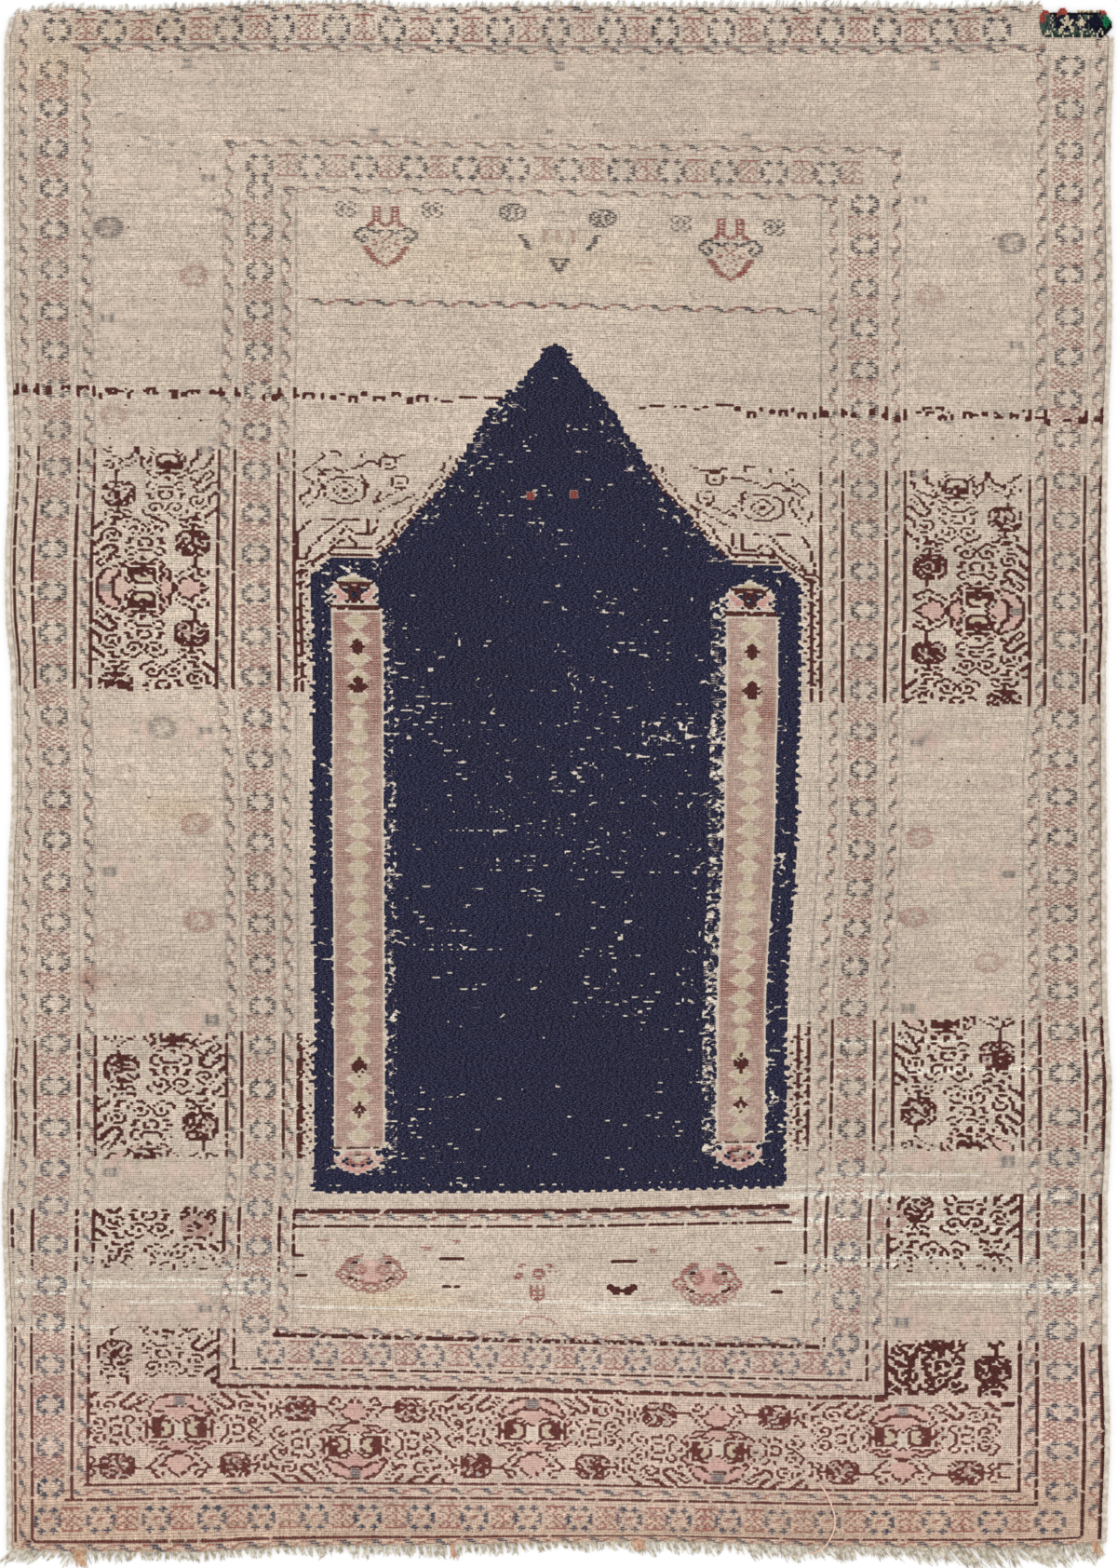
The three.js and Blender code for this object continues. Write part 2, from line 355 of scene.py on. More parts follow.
def tie_stripes():
    """Star stripes and the narrow guards on each side of them."""
    for number, stripe in enumerate(STAR_STRIPES):
        share = 0.12 + 0.16 * soft_noise(150 + number, 6, 5)
        cells = zone(*stripe) & (luck(50 + number) < share)
        yarn[cells] = RED
        show[cells] = STRIPE_DUST
    for stars in STAR_ROWS:
        repeat(*stars)
    for x, y, stop in UPRIGHT_GUARDS:
        repeat((GUARD_UPRIGHT,), x, y, stop, UPRIGHT_GUARD_PITCH, GUARD_STRENGTH, True, x > SEAM_X)
    for y, x, stop in LEVEL_GUARDS:
        repeat((GUARD_LEVEL,), x, y, stop, LEVEL_GUARD_PITCH, GUARD_STRENGTH, False)


is_line = np.zeros((ROWS, COLUMNS), bool)


def tie_lines():
    """The brown lines, each marked as a line for the wear."""
    lines = [(row_at(y_from), row_at(y_to), column_at(x), column_at(x)) for x, y_from, y_to in UPRIGHT_LINES]
    for y, x_from, x_to, rows in LEVEL_LINES:
        lines.append((row_at(y), row_at(y) + rows - 1, column_at(x_from), column_at(x_to)))
    for top, bottom, left, right in lines:
        cells = (slice(top, bottom + 1), slice(left, right + 1))
        yarn[cells] = BROWN
        show[cells] = 1.0
        is_line[cells] = True


# Half of the border's palmette, from its middle line outwards. The first letter of a row
# lies on the side of the stem and the last on the side of the tip.
HALF_PALMETTE = chart("""
.#gbbg#pppppp#iiiiii#pppp##ppppppppp#..
.#gbbg#ppppp#iiiiiiii#ppp##ppppppp##...
.#ppp##pppp#i######i#pppp#.#pppppp#....
.#pppp#ppp#.##tttt##.#pp#..#pppp##.....
.##ppp##pp#.#tttttt#.#p##...##p#.......
..#pppp##p###tt##tt#.##p#.#...##..##...
..##pppp#..#########..#p#..#...#.#..#..
...#pppp#..#########.#pp#...##...#.##..
....##ppp#.#########.#p#......#..##....
..#...##p##....##....##........##......
.#.#....##pp########pp#.........#......
.#..#.....#pp#....#pp#..........#......
..#.##..#..##..##..##...........#......
...#.#.##......#................#......
##...##....##.......##......#######....
.##...##..#..#.....#..#....#xx###xx#...
..##...#..#...#####...#...#xxxx#xxxx#..
...##.##...##.......##....#xx#xxx#xx#..
#...###.......##.##.......#xxxx#xxxx#..
##........##..#...#..##...xx#xxxxx#xx..
.##..###...#..#...#..#....#xxxx#xxxx#..
..#.#...#..##..###..##....#xx#xxx#xx#..
..#.#.#.#.................#xxxx#xxxx#..
..#..##.#...###...###......#xx###xx#...
...#...#...#...#.#...#......#######....
#...###....#.#.#.#.#.#.........#.......
##.......#..##..#..##..#....##.#.##....
.##..##..#.....#.#.....#...#..###..#...
..##..#...##..#...#..##......#.....#...
...#..###...##.....##......###.###.....
##.........................#.....#.....
""")

# Each border's place and span, and how far from a palmette's middle the half chart reaches
BORDER_EDGE = {"left": 106, "right": 1102, "top": 60, "bottom": 1594}
SIDE_FROM = 153
SIDE_TO = 1492
HALF_UNIT = 30.5
# Middles of the palmettes along each border, and whether each one's tip points inwards
BORDER_UNITS = {
    "left": ((195, 0), (345, 1), (490, 0), (638, 1), (787, 0), (935, 1), (1095, 0), (1258, 1), (1410, 0)),
    "right": ((210, 0), (362, 1), (502, 0), (650, 1), (795, 0), (940, 1), (1088, 0), (1252, 1), (1415, 0)),
    "top": ((200, 1), (400, 0), (600, 1), (800, 0), (1003, 1)),
    "bottom": ((194, 0), (382, 1), (571, 0), (785, 1), (988, 0)),
}


def tie_border(side):
    """Palmettes that point in and out by turns and share the ground between them."""
    upright = side in ("left", "right")
    mixed = np.random.default_rng(len(side))
    units = BORDER_UNITS[side]
    along = row_at if upright else column_at
    middles = np.array([along(place) for place, _ in units])
    if upright:
        places = range(row_at(SIDE_FROM), row_at(SIDE_TO))
        outer = column_at(BORDER_EDGE[side])
    else:
        places = range(column_at(BORDER_EDGE["left"]), column_at(BORDER_EDGE["right"]))
        outer = row_at(BORDER_EDGE[side])
    step = 1 if side in ("left", "top") else -1
    for place in places:
        nearest = int(np.argmin(abs(place - middles)))
        way = 1 if place >= middles[nearest] else -1
        neighbour = min(len(units) - 1, max(0, nearest + way))
        reach = abs(middles[neighbour] - middles[nearest]) / 2 or HALF_UNIT
        line = min(len(HALF_PALMETTE) - 1, int(abs(place - middles[nearest]) * HALF_UNIT / reach))
        cells = HALF_PALMETTE[line]
        if not units[nearest][1]:
            cells = cells[::-1]
        for across, kind in enumerate(cells):
            if kind == MIXED:
                kind = mixed.choice((BROWN, BROWN, BROWN, LILAC, RED, -1))
            if kind < 0:
                continue
            if upright:
                knot(place, outer + step * across, kind, 1.0)
            else:
                knot(outer + step * across, place, kind, 1.0)


# The blue niche, by its half width at places down its gable, then its straight sides
NICHE_MIDDLE = 597.0
GABLE_DOWN = (369, 374, 386, 406, 426, 446, 466, 486, 506, 526, 546, 566, 586, 603)
GABLE_HALF = (3, 11, 18, 34, 56, 70, 81, 95, 104, 118, 138, 156, 173, 191)
SHOULDER = 603
CHAMFER = 624
NICHE_HALF = 261
CHAMFER_HALF = 240
NICHE_FOOT = 1279
FOOT_TEETH = (345, 850)
RAGGED_GABLE = 1.9
RAGGED_SIDE = 1.0
TOOTH = 2.6
SHAFTS = (382.5, 808.5)
SHAFT_HALF = 27.5
RED_DOTS = ((574, 535), (620, 531))


def niche_reach():
    """Half the niche's width at each row of knots, 0 outside it."""
    reach = np.zeros(ROWS)
    gable = (LAY_Y >= GABLE_DOWN[0]) & (LAY_Y < SHOULDER)
    reach[gable] = np.interp(LAY_Y[gable], GABLE_DOWN, GABLE_HALF)
    chamfer = (LAY_Y >= SHOULDER) & (LAY_Y < CHAMFER)
    reach[chamfer] = np.interp(LAY_Y[chamfer], (SHOULDER, CHAMFER), (CHAMFER_HALF, NICHE_HALF))
    reach[(LAY_Y >= CHAMFER) & (LAY_Y < NICHE_FOOT)] = NICHE_HALF
    return reach


def tie_niche():
    """The navy field with its ragged edge, its wear and two red dots."""
    reach = niche_reach()
    ragged = np.random.default_rng(5)
    for row in np.flatnonzero(reach > 0):
        gable = LAY_Y[row] < SHOULDER
        for side in (-1, 1):
            stray = ragged.normal(0, RAGGED_GABLE if gable else RAGGED_SIDE)
            if not gable and row % 4 < 2:
                stray += TOOTH
            edge = NICHE_MIDDLE + side * max(1.0, reach[row] + stray)
            low, high = sorted((NICHE_MIDDLE, edge))
            cells = (LAY_X > low) & (LAY_X < high)
            yarn[row, cells] = NAVY
            show[row, cells] = 1.0
    foot = row_at(NICHE_FOOT)
    for column in range(column_at(FOOT_TEETH[0]), column_at(FOOT_TEETH[1])):
        if column % 4 < 2:
            knot(foot, column, NAVY, 1.0)
    wear_niche(reach)
    for x, y in RED_DOTS:
        for down in (-2, -1, 0, 1):
            dash(x, y + down * KNOT_TALL, KNOT_WIDE, KNOT_WIDE, RED, 1.5)


# Patches of the niche where knots are missing, and the share of them that is lost
NICHE_WEAR = (
    # left, right, top, bottom, share
    (408, 424, 655, 1245, 0.30),
    (764, 779, 640, 1245, 0.44),
    (833, 846, 620, 1260, 0.14),
    (344, 357, 610, 1260, 0.10),
    (690, 776, 772, 800, 0.20),
    (740, 764, 850, 1100, 0.10),
    (350, 420, 606, 625, 0.10),
    (780, 840, 606, 622, 0.10),
    (480, 720, 560, 940, 0.025),
)
WORN_ROWS = (
    # down, from, to, share
    (892, 487, 560, 0.55),
    (1019, 455, 545, 0.55),
    (1014, 420, 500, 0.35),
    (790, 690, 775, 0.45),
    (936, 700, 760, 0.40),
    (497, 470, 560, 0.30),
    (1272, 350, 840, 0.20),
)
WEAR_ACROSS = (340, 858)
WEAR_DOWN = (400, 1275)
WEAR_TRIES = 2200
CLUSTERS = 0.06
FRAYED = 32
FIRM_EDGE = 6
THIN = 0.4


def wear_niche(reach):
    """Lost navy knots: level dashes, small ladders of them and thin rows near the gable."""
    source = np.random.default_rng(17)
    navy = yarn == NAVY
    odds = 0.42 + 0.45 * soft_noise(31, 26, 40)
    for _ in range(WEAR_TRIES):
        middle_row = source.integers(*(row_at(y) for y in WEAR_DOWN))
        middle_column = source.integers(*(column_at(x) for x in WEAR_ACROSS))
        lucky = source.random()
        dashes = source.integers(4, 14) if source.random() < CLUSTERS else source.integers(1, 3)
        if lucky > odds[middle_row, middle_column]:
            continue
        for _ in range(dashes):
            row = min(ROWS - 1, middle_row + 2 * source.integers(0, 2 + dashes // 3))
            column = middle_column + source.integers(0, 3 + dashes // 2)
            cells = (row, slice(column, column + source.integers(1, 3)))
            show[cells] = np.where(navy[cells], THIN if source.random() < 0.5 else 0.0, show[cells])
    for y, x_from, x_to, share in WORN_ROWS:
        cells = slice(column_at(x_from), column_at(x_to))
        lost = source.random(cells.stop - cells.start) < share
        show[row_at(y), cells] = np.where(lost & navy[row_at(y), cells], 0.0, show[row_at(y), cells])
    inset = reach[:, None] - abs(GRID_X - NICHE_MIDDLE)
    near = navy & (inset < FRAYED) & (inset > FIRM_EDGE) & (GRID_Y < SHOULDER) & (GRID_Y > 420)
    thin_rows = np.random.default_rng(43).random((ROWS, 1)) < 0.6
    thin = near & thin_rows & (luck(41) < 0.8 * (1 - inset / FRAYED))
    show[thin] = np.where(luck(42)[thin] < 0.2, 0.0, THIN)
    for number, (left, right, top, bottom, share) in enumerate(NICHE_WEAR):
        gap_shade = navy & zone(left, right, top, bottom) & (luck(100 + number) < 1.5 * share)
        show[gap_shade] = np.where(luck(120 + number)[gap_shade] < 0.25, 0.0, THIN)


# The flowering head and foot of each shaft
CAPITAL = chart("""
.......ii.......
......iiii......
....iitttiii....
..iiittttttiii..
.i############i.
.ii####pp####ii.
iii#ii.##.ii#iii
ippi..####..ippi
iippi.#..#.ippii
.ipppi#..#ipppi.
i.ippp#..#pppi.i
ipippi####ippipi
.ipii.i##i.iipi.
iiiiiiiiiiiiiiii
################
################
iiiiiiiiiiiiiiii
""")
FOOT = chart("""
################
iiiiiiiiiiiiiiii
..iippirrippii..
i.ipprr##rrppi.i
iipir######ripii
pipi.r####r.ipip
ppi.rrr##rrr.ipp
.ipp.rrrrrr.ppi.
iipipp.rr.ppipii
i.ippppiippppi.i
...iippppppii...
.....iippii.....
.......ii.......
""")
SHAFT_TOP = 659
SHAFT_FOOT = 1227
SHAFT_KNOTS = 16
LOZENGE_PITCH = 20.3
LOZENGE_HALF = 3.7
DARK_LOZENGES = (
    # down, half height, half width
    (697, 3, 2.6),
    (739, 4, 3.3),
    (1145, 4, 2.8),
    (1190, 3, 2.2),
)


def tie_shaft(x_middle):
    """A slim shaft with a chain of lozenges between its flowering head and foot."""
    left = column_at(x_middle - SHAFT_HALF)
    right = left + SHAFT_KNOTS
    middle = (left + right) / 2
    depth = 0.44 + 0.16 * soft_noise(int(x_middle), 60, 30)
    for row in range(row_at(SHAFT_TOP), row_at(SHAFT_FOOT) + 1):
        turn = (LAY_Y[row] - SHAFT_TOP) / LOZENGE_PITCH % 1.0
        lozenge = LOZENGE_HALF * (1 - abs(2 * turn - 1)) - 0.1
        for column in range(left, right + 1):
            away = abs(column - middle)
            if column in (left, right):
                knot(row, column, CREAM, 0.9)
            elif away < lozenge:
                knot(row, column, TAN, 0.55)
            elif away < lozenge + 0.7:
                knot(row, column, CREAM, 0.4)
            else:
                knot(row, column, RED, depth[row, column])
    for y, half_tall, half_wide in DARK_LOZENGES:
        for down in range(-half_tall, half_tall + 1):
            reach = half_wide * (1 - abs(down) / (half_tall + 0.6))
            for column in range(int(np.ceil(middle - reach)), int(middle + reach) + 1):
                knot(row_at(y) + down, column, BROWN, 0.95)
    stamp(CAPITAL, x_middle, 639)
    stamp(FOOT, x_middle, 1245)


# One spandrel's figures and scrolls, by how far from the niche's middle and how far down
OCTAGON = chart("""
....######....
..##......##..
.#....##....#.
#....#..#....#
#...#....#...#
#..#..##..#..#
#..#..##..#..#
#...#....#...#
#....#..#....#
.#....##....#.
..##......##..
....######....
""")
SMALL_OCTAGON = chart("""
.####.
#....#
#....#
#.##.#
#....#
.####.
""")
SPANDREL_FIGURES = ((OCTAGON, 224, 533), (SMALL_OCTAGON, 163, 522), (SMALL_OCTAGON, 176, 503))
SCROLLS = (
    ((272, 512), (262, 505), (250, 511), (238, 506), (226, 511), (212, 504), (196, 500), (186, 501)),
    ((272, 516), (264, 520), (256, 514), (246, 514)),
    ((258, 488), (248, 494), (256, 502)),
    ((243, 489), (230, 489), (232, 495)),
    ((216, 488), (204, 488), (206, 494)),
    ((186, 490), (174, 494), (158, 492), (146, 488)),
    ((262, 522), (264, 534), (274, 536), (270, 546)),
    ((254, 520), (250, 528), (259, 541), (268, 550)),
    ((194, 530), (188, 533), (194, 544), (160, 527)),
    ((188, 553), (152, 534)),
    ((206, 515), (199, 526)),
    ((250, 561), (238, 561)),
    ((226, 561), (210, 561)),
    ((264, 564), (276, 576), (278, 604), (268, 604), (264, 592), (246, 577), (230, 564)),
    ((242, 586), (224, 570), (214, 578), (202, 578), (202, 561)),
    ((238, 589), (222, 580), (214, 590)),
    ((196, 578), (190, 570), (190, 561)),
)
# Two lines that follow the gable outside the niche, the outer one stepped, and the hooks
# beside the niche where the brown is left
GABLE_LINE = 3.5
STEPPED_LINE = 12
STEP = 3.0
GABLE_LINES_DOWN = (488, 598)
CREAM_EDGE = ((593, BROWN), (596, CREAM), (600, BROWN))
HOOKS = 268
HOOKS_DOWN = ((612, 740), (1112, 1248))
NICHE_LINES = (
    # start and stop, each as away and down, and strength
    ((240, 594), (272, 613), 1.0),
    ((246, 600), (270, 620), 1.0),
    ((275, 614), (276, 1276), 0.8),
)


def tie_spandrels():
    """Scrolls and octagons above the shoulders, and the lines round the niche."""
    for side, drop in ((-1, 0), (1, 9)):
        for scroll in SCROLLS:
            stroke([(NICHE_MIDDLE + side * away, y + drop) for away, y in scroll])
        for figure, away, y in SPANDREL_FIGURES:
            stamp(figure, NICHE_MIDDLE + side * away, y + drop, 1.0, side > 0)
        for row in range(*(row_at(y) for y in GABLE_LINES_DOWN)):
            reach = np.interp(LAY_Y[row], GABLE_DOWN, GABLE_HALF)
            for offset in (GABLE_LINE, STEPPED_LINE + STEP * ((row // 4) % 2)):
                knot(row, column_at(NICHE_MIDDLE + side * (reach + offset)), BROWN, 0.9)
        for away in np.arange(196, 240, KNOT_WIDE):
            for y, kind in CREAM_EDGE:
                knot(row_at(y), column_at(NICHE_MIDDLE + side * away), kind, 1.0)
        for start, stop, strength in NICHE_LINES:
            stroke([(NICHE_MIDDLE + side * away, y) for away, y in (start, stop)], BROWN, strength)
        for top, bottom in HOOKS_DOWN:
            for row in range(row_at(top), row_at(bottom)):
                slant = (row * 2) % 5
                knot(row, column_at(NICHE_MIDDLE + side * (HOOKS + KNOT_WIDE * slant)), BROWN, 1.0)


# Figures in the panels above and below the niche
LATTICE = chart("""
.bb.bb.
b..b..b
b.b.b.b
.bb.bb.
b.b.b.b
b..b..b
.bb.bb.
""")
PANEL_ROSETTE = chart("""
...bbbb..
.bb.b.bb.
bb.b.bb.b
b.bb.b.bb
bb.b.bb.b
b.bb.b.bb
.bb.b.bb.
..bbbb...
""")
DROP = chart("""
bbbbbbb
bb...bb
.bb.bb.
.bb.bb.
..bbb..
..bbb..
...b...
""")
CARNATION = chart("""
..rr......rr..
.rr........rr.
.......rr.....
......rrrr.r.r
.rr...r..r....
r.r...rrrr....
rr.....rr.....
..............
..............
.....r.r.r....
.....r.r.r....
.....rrrrr....
.....r.r.r....
.....rrrrr....
.....r.r.r....
......rrr.....
.......r......
""")
BUTTERFLY = chart("""
##......##
####..####
.########.
..##..##..
""")
VASE = chart("""
......rrr...rrr......
......r.r...r.r......
......rrr...rrr......
......r.r...r.r......
......rrr...rrr......
......r.r...r.r......
......rrr...rrr......
.....rr.rr.rr.rr.....
....rrr..rrr..rrr....
..bbb...........bbb..
.bb.bbb.bb.bb.bbb.bb.
bb....bbb...bbb....bb
b..b....r...r....b..b
bb.bb....r.r....bb.bb
.bb.b.r...r...r.b.bb.
..bb...r.r.r.r...bb..
......rr.....rr......
...rr....r.r....rr...
...rrr....r....rrr...
....rr..r...r..rr....
....rrr.......rrr....
.....rr..r.r..rr.....
.....rrr.....rrr.....
......rrr...rrr......
.......rrr.rrr.......
.........rrr.........
..........r..........
""")
PETAL = chart("""
.rrr.
rr.rr
r.r.r
rr.rr
.rrr.
""")
PETAL_TURNS = (8, 40, 65, 90, 115, 140, 172)
FAINT_TURNS = (40, 140)
UPPER_ARCS = ((200, 248), (292, 340))
HEART_HALF_WIDE = 15
HEART_HALF_TALL = 13


def tie_ring(x, y, wide, tall):
    """A worn wreath round a pink heart: petals below, broken lines above."""
    for turn in PETAL_TURNS:
        over = wide * np.cos(np.radians(turn))
        down = tall * np.sin(np.radians(turn))
        stamp(PETAL, x + over, y + down, 0.9 - 0.3 * (turn in FAINT_TURNS))
    for start, stop in UPPER_ARCS:
        arc(x, y, wide, tall, start, stop, RED, 0.9, 2)
        arc(x, y, 0.8 * wide, 0.72 * tall, start, stop - 10, GREY, 0.6)
    for way in (-1, 1):
        stamp(PETAL, x + way * 0.42 * wide, y - 0.1 * tall, 0.8)
        stroke([(x + way * 0.62 * wide, y - 8), (x + way * 0.52 * wide, y - 8)], BROWN, 1.1)
        stroke([(x + way * 0.72 * wide, y + 8), (x + way * 0.55 * wide, y + 10)], BROWN, 1.1)
    heart = ((GRID_X - x) / HEART_HALF_WIDE) ** 2 + ((GRID_Y - y) / HEART_HALF_TALL) ** 2 < 1
    yarn[heart & (show < 0.3)] = PINK
    show[heart & (yarn == PINK)] = 0.6


PANEL_FIGURES = (
    # figure, strength, places
    (LATTICE, 0.8, ((368, 226), (465, 226), (731, 236), (831, 240))),
    (PANEL_ROSETTE, 0.8, ((551, 229), (648, 234))),
    (VASE, 0.95, ((413, 257), (784, 265))),
    (DROP, 0.75, ((600, 285),)),
    (CARNATION, 1.1, ((578, 1376),)),
    (BUTTERFLY, 1.6, ((673, 1384),)),
)
RINGS = (
    # across, down, half width, half height
    (400, 1366, 31, 19),
    (771, 1374, 32, 19),
)
GREY_BARS = ((507, 236), (694, 243))
RED_BARS = ((507, 270), (694, 279))
BLUE_BARS = ((600, 228),)
LOW_BARS = ((342, 1393), (436, 1393), (500, 1393), (700, 1393), (792, 1393))
BUDS = ((348, 1333), (459, 1340), (490, 1332), (707, 1342), (828, 1341))
PANEL_DASHES = (
    # places, how far below, to the left, to the right, yarn, strength
    (GREY_BARS, 0, 8, 8, GREY, 0.4),
    (GREY_BARS, 8, 5, 6, GREY, 0.3),
    (RED_BARS, 0, 8, 8, RED, 0.4),
    (RED_BARS, 8, 5, 6, RED, 0.3),
    (BLUE_BARS, 0, 8, 8, BLUE, 0.4),
    (BLUE_BARS, 8, 5, 6, BLUE, 0.3),
    (BUDS, 0, 4, 4, RED, 0.8),
    (BUDS, 3, 1, 3, RED, 0.6),
    (((322, 1349), (325, 1372), (854, 1356), (851, 1384)), 0, 6, 5, BROWN, 1.3),
    (((666, 1355), (682, 1355), (480, 1353), (493, 1353)), 0, 6, 5, BROWN, 1.3),
    (((480, 1381), (492, 1382)), 0, 3, 3, BROWN, 1.1),
    (LOW_BARS, 0, 7, 7, RED, 0.35),
    (LOW_BARS, 5, 5, 6, RED, 0.3),
)
PANEL_MIDDLE = 600


def tie_panels():
    """Vases, rosettes and drops above the niche, wreaths and a carnation below it."""
    for figure, strength, places in PANEL_FIGURES:
        for x, y in places:
            stamp(figure, x, y, strength)
    for way in (-1, 1):
        stroke([(PANEL_MIDDLE + way * 42, 251), (PANEL_MIDDLE + way * 32, 266)], BLUE, 0.8, 2)
        for down in range(6):
            for away, strength in ((17, 0.35), (14, 0.25), (2, 0.3)):
                knot(row_at(247) + down, column_at(PANEL_MIDDLE + way * away), RED, strength)
    for x, y in ((377, 300), (465, 300), (748, 311)):
        arc(x, y, 7, 5, 0, 360, GREY, 0.5)
    for ring in RINGS:
        tie_ring(*ring)
    arc(577, 1424, 20, 12, 200, 340, RED, 0.6)
    for places, below, left, right, kind, strength in PANEL_DASHES:
        for x, y in places:
            dash(x, y + below, left, right, kind, strength)


# Bands of weft where the brown wool has outlived its dye, from the top down. Elsewhere it
# has rotted away to the ivory ground.
BROWN_BANDS = (
    # left start, right start, left end, right end, share left, how thick each knot stands
    (420, 429, 428, 439, 0.75, 1.0),
    (452, 456, 455, 463, 0.12, 0.8),
    (486, 500, 560, 570, 0.93, 0.76),
    (560, 570, 606, 616, 0.96, 0.95),
    (606, 616, 743, 752, 0.965, 1.0),
    (1110, 1099, 1132, 1120, 0.93, 0.8),
    (1132, 1120, 1222, 1224, 0.9, 0.94),
    (1222, 1224, 1240, 1240, 0.85, 0.75),
    (1298, 1290, 1322, 1312, 0.9, 1.0),
    (1316, 1302, 1346, 1352, 0.92, 1.0),
    (1346, 1352, 1366, 1366, 0.45, 0.8),
    (1430, 1431, 1450, 1446, 0.75, 0.8),
    (1450, 1446, 1493, 1493, 0.82, 0.84),
    (1493, 1493, 1661, 1661, 0.93, 0.84),
)
WEFT_START = 100
WEFT_SPAN = 1000

# Short lengths of brown that are left in a few rows of weft above the bands
SURVIVORS_DOWN = (423, 438)
SURVIVORS = (
    # from, to, rows, longest, widest gap
    (15, 240, 4, 3, 5),
    (240, 318, 3, 2, 9),
    (320, 460, 3, 4, 2),
    (460, 545, 1, 6, 3),
    (690, 790, 1, 6, 3),
    (790, 885, 3, 4, 2),
    (885, 985, 3, 2, 8),
    (985, 1190, 3, 3, 4),
)


def across_rug(left, right, x=GRID_X):
    """A line of weft from one height at the left to another at the right."""
    return left + (right - left) * (x - WEFT_START) / WEFT_SPAN


def tie_survivors():
    """Ragged ends of the brown that was, and the stumps of its upright lines."""
    source = np.random.default_rng(83)
    for x_from, x_to, rows, longest, widest in SURVIVORS:
        column = column_at(x_from)
        while column < column_at(x_to):
            top = row_at(across_rug(*SURVIVORS_DOWN, LAY_X[column])) + source.integers(-1, 2)
            tall = source.integers(1, rows + 1)
            long = source.integers(1, longest + 1)
            for over in range(long):
                for down in range(tall if over in (0, long - 1) else 1):
                    knot(top + down, min(COLUMNS - 1, column + over), BROWN, 1.02)
            column += long + source.integers(1, widest + 1)
    for x, _, _ in UPRIGHT_LINES:
        y = across_rug(*SURVIVORS_DOWN, x)
        stroke([(x, y - 4), (x, y + 5)], BROWN, 1.02)


STRONG_CORNER = (955, 1200, 1436, 1500)
MAIN_BORDER = (104, 1104, 58, 1596)
INSIDE_BORDER = (235, 974, 152, 1492)
PANELS = (316, 884, 211, 1428)
STRAY_SHARE = 0.004
STRAY_THICK = 0.6


def rot_brown():
    """Leaves the brown only in its bands. Its lines leave a dotted trace where it has gone."""
    share = np.full((ROWS, COLUMNS), STRAY_SHARE)
    thick = np.full((ROWS, COLUMNS), STRAY_THICK)
    ragged = 2.2 * soft_noise(71, 7, 3)
    for left_start, right_start, left_end, right_end, left_over, stand in BROWN_BANDS:
        rows = GRID_Y >= across_rug(left_start, right_start) + ragged
        rows &= GRID_Y < across_rug(left_end, right_end) + ragged
        share[rows] = left_over
        thick[rows] = stand
    strong_corner = zone(*STRONG_CORNER)
    thick[strong_corner] = 1.1
    share[strong_corner] = 0.97
    below = np.roll(yarn == BROWN, 1, axis=0) & (yarn == IVORY)
    odds = np.where(strong_corner, 0.75, 0.25)
    grown = below & zone(104, 1104, 58, 1500) & (luck(63) < odds) & (thick > 1.05)
    yarn[grown] = BROWN
    brown = (yarn == BROWN) & (show <= 1.0)
    alive = luck(61) < share
    show[brown & alive] = (thick * (0.85 + 0.3 * luck(65)))[brown & alive]
    gone = brown & ~alive
    show[gone] = 0.05 + 0.05 * luck(67)[gone]
    dotted = gone & is_line & (luck(69) < 0.8)
    trace = gone & ~is_line & (luck(70) < 0.34 + 0.30 * soft_noise(75, 16, 6))
    yarn[dotted | trace] = GREY
    show[dotted] = 0.42
    show[trace] = 0.055


# How much dye is left by height
FADING = np.array((
    # down, in the main border, in the stripes
    (0, 0.6, 1.0),
    (40, 0.4, 0.9),
    (70, 0.08, 0.75),
    (400, 0.06, 0.72),
    (500, 0.06, 0.74),
    (560, 0.12, 0.85),
    (660, 0.6, 0.9),
    (765, 0.2, 0.8),
    (900, 0.22, 0.8),
    (1090, 0.2, 0.8),
    (1140, 0.5, 0.85),
    (1230, 0.4, 0.85),
    (1260, 0.15, 0.75),
    (1430, 0.18, 0.75),
    (1490, 0.5, 0.95),
    (1661, 0.6, 1.0),
))


def left_by_height(column):
    return np.interp(GRID_Y, FADING[:, 0], FADING[:, column])


def fade_dyes():
    """The other dyes are nearly gone at the top and strongest in the lowest quarter."""
    soft = np.isin(yarn, (BLUE, RED, PINK, TAN, CREAM, GREY, LILAC))
    main = zone(*MAIN_BORDER) & ~zone(*INSIDE_BORDER)
    faded = main & soft & (yarn != GREY)
    show[faded] *= left_by_height(1)[faded]
    stripes = soft & ~main & ~zone(*PANELS)
    show[stripes] *= left_by_height(2)[stripes]
    show[stripes & (yarn == RED)] *= 0.8
    patchy = 1 + 0.25 * soft_noise(73, 9, 7) + 0.25 * (luck(79) - 0.5)
    show[soft] *= patchy[soft]


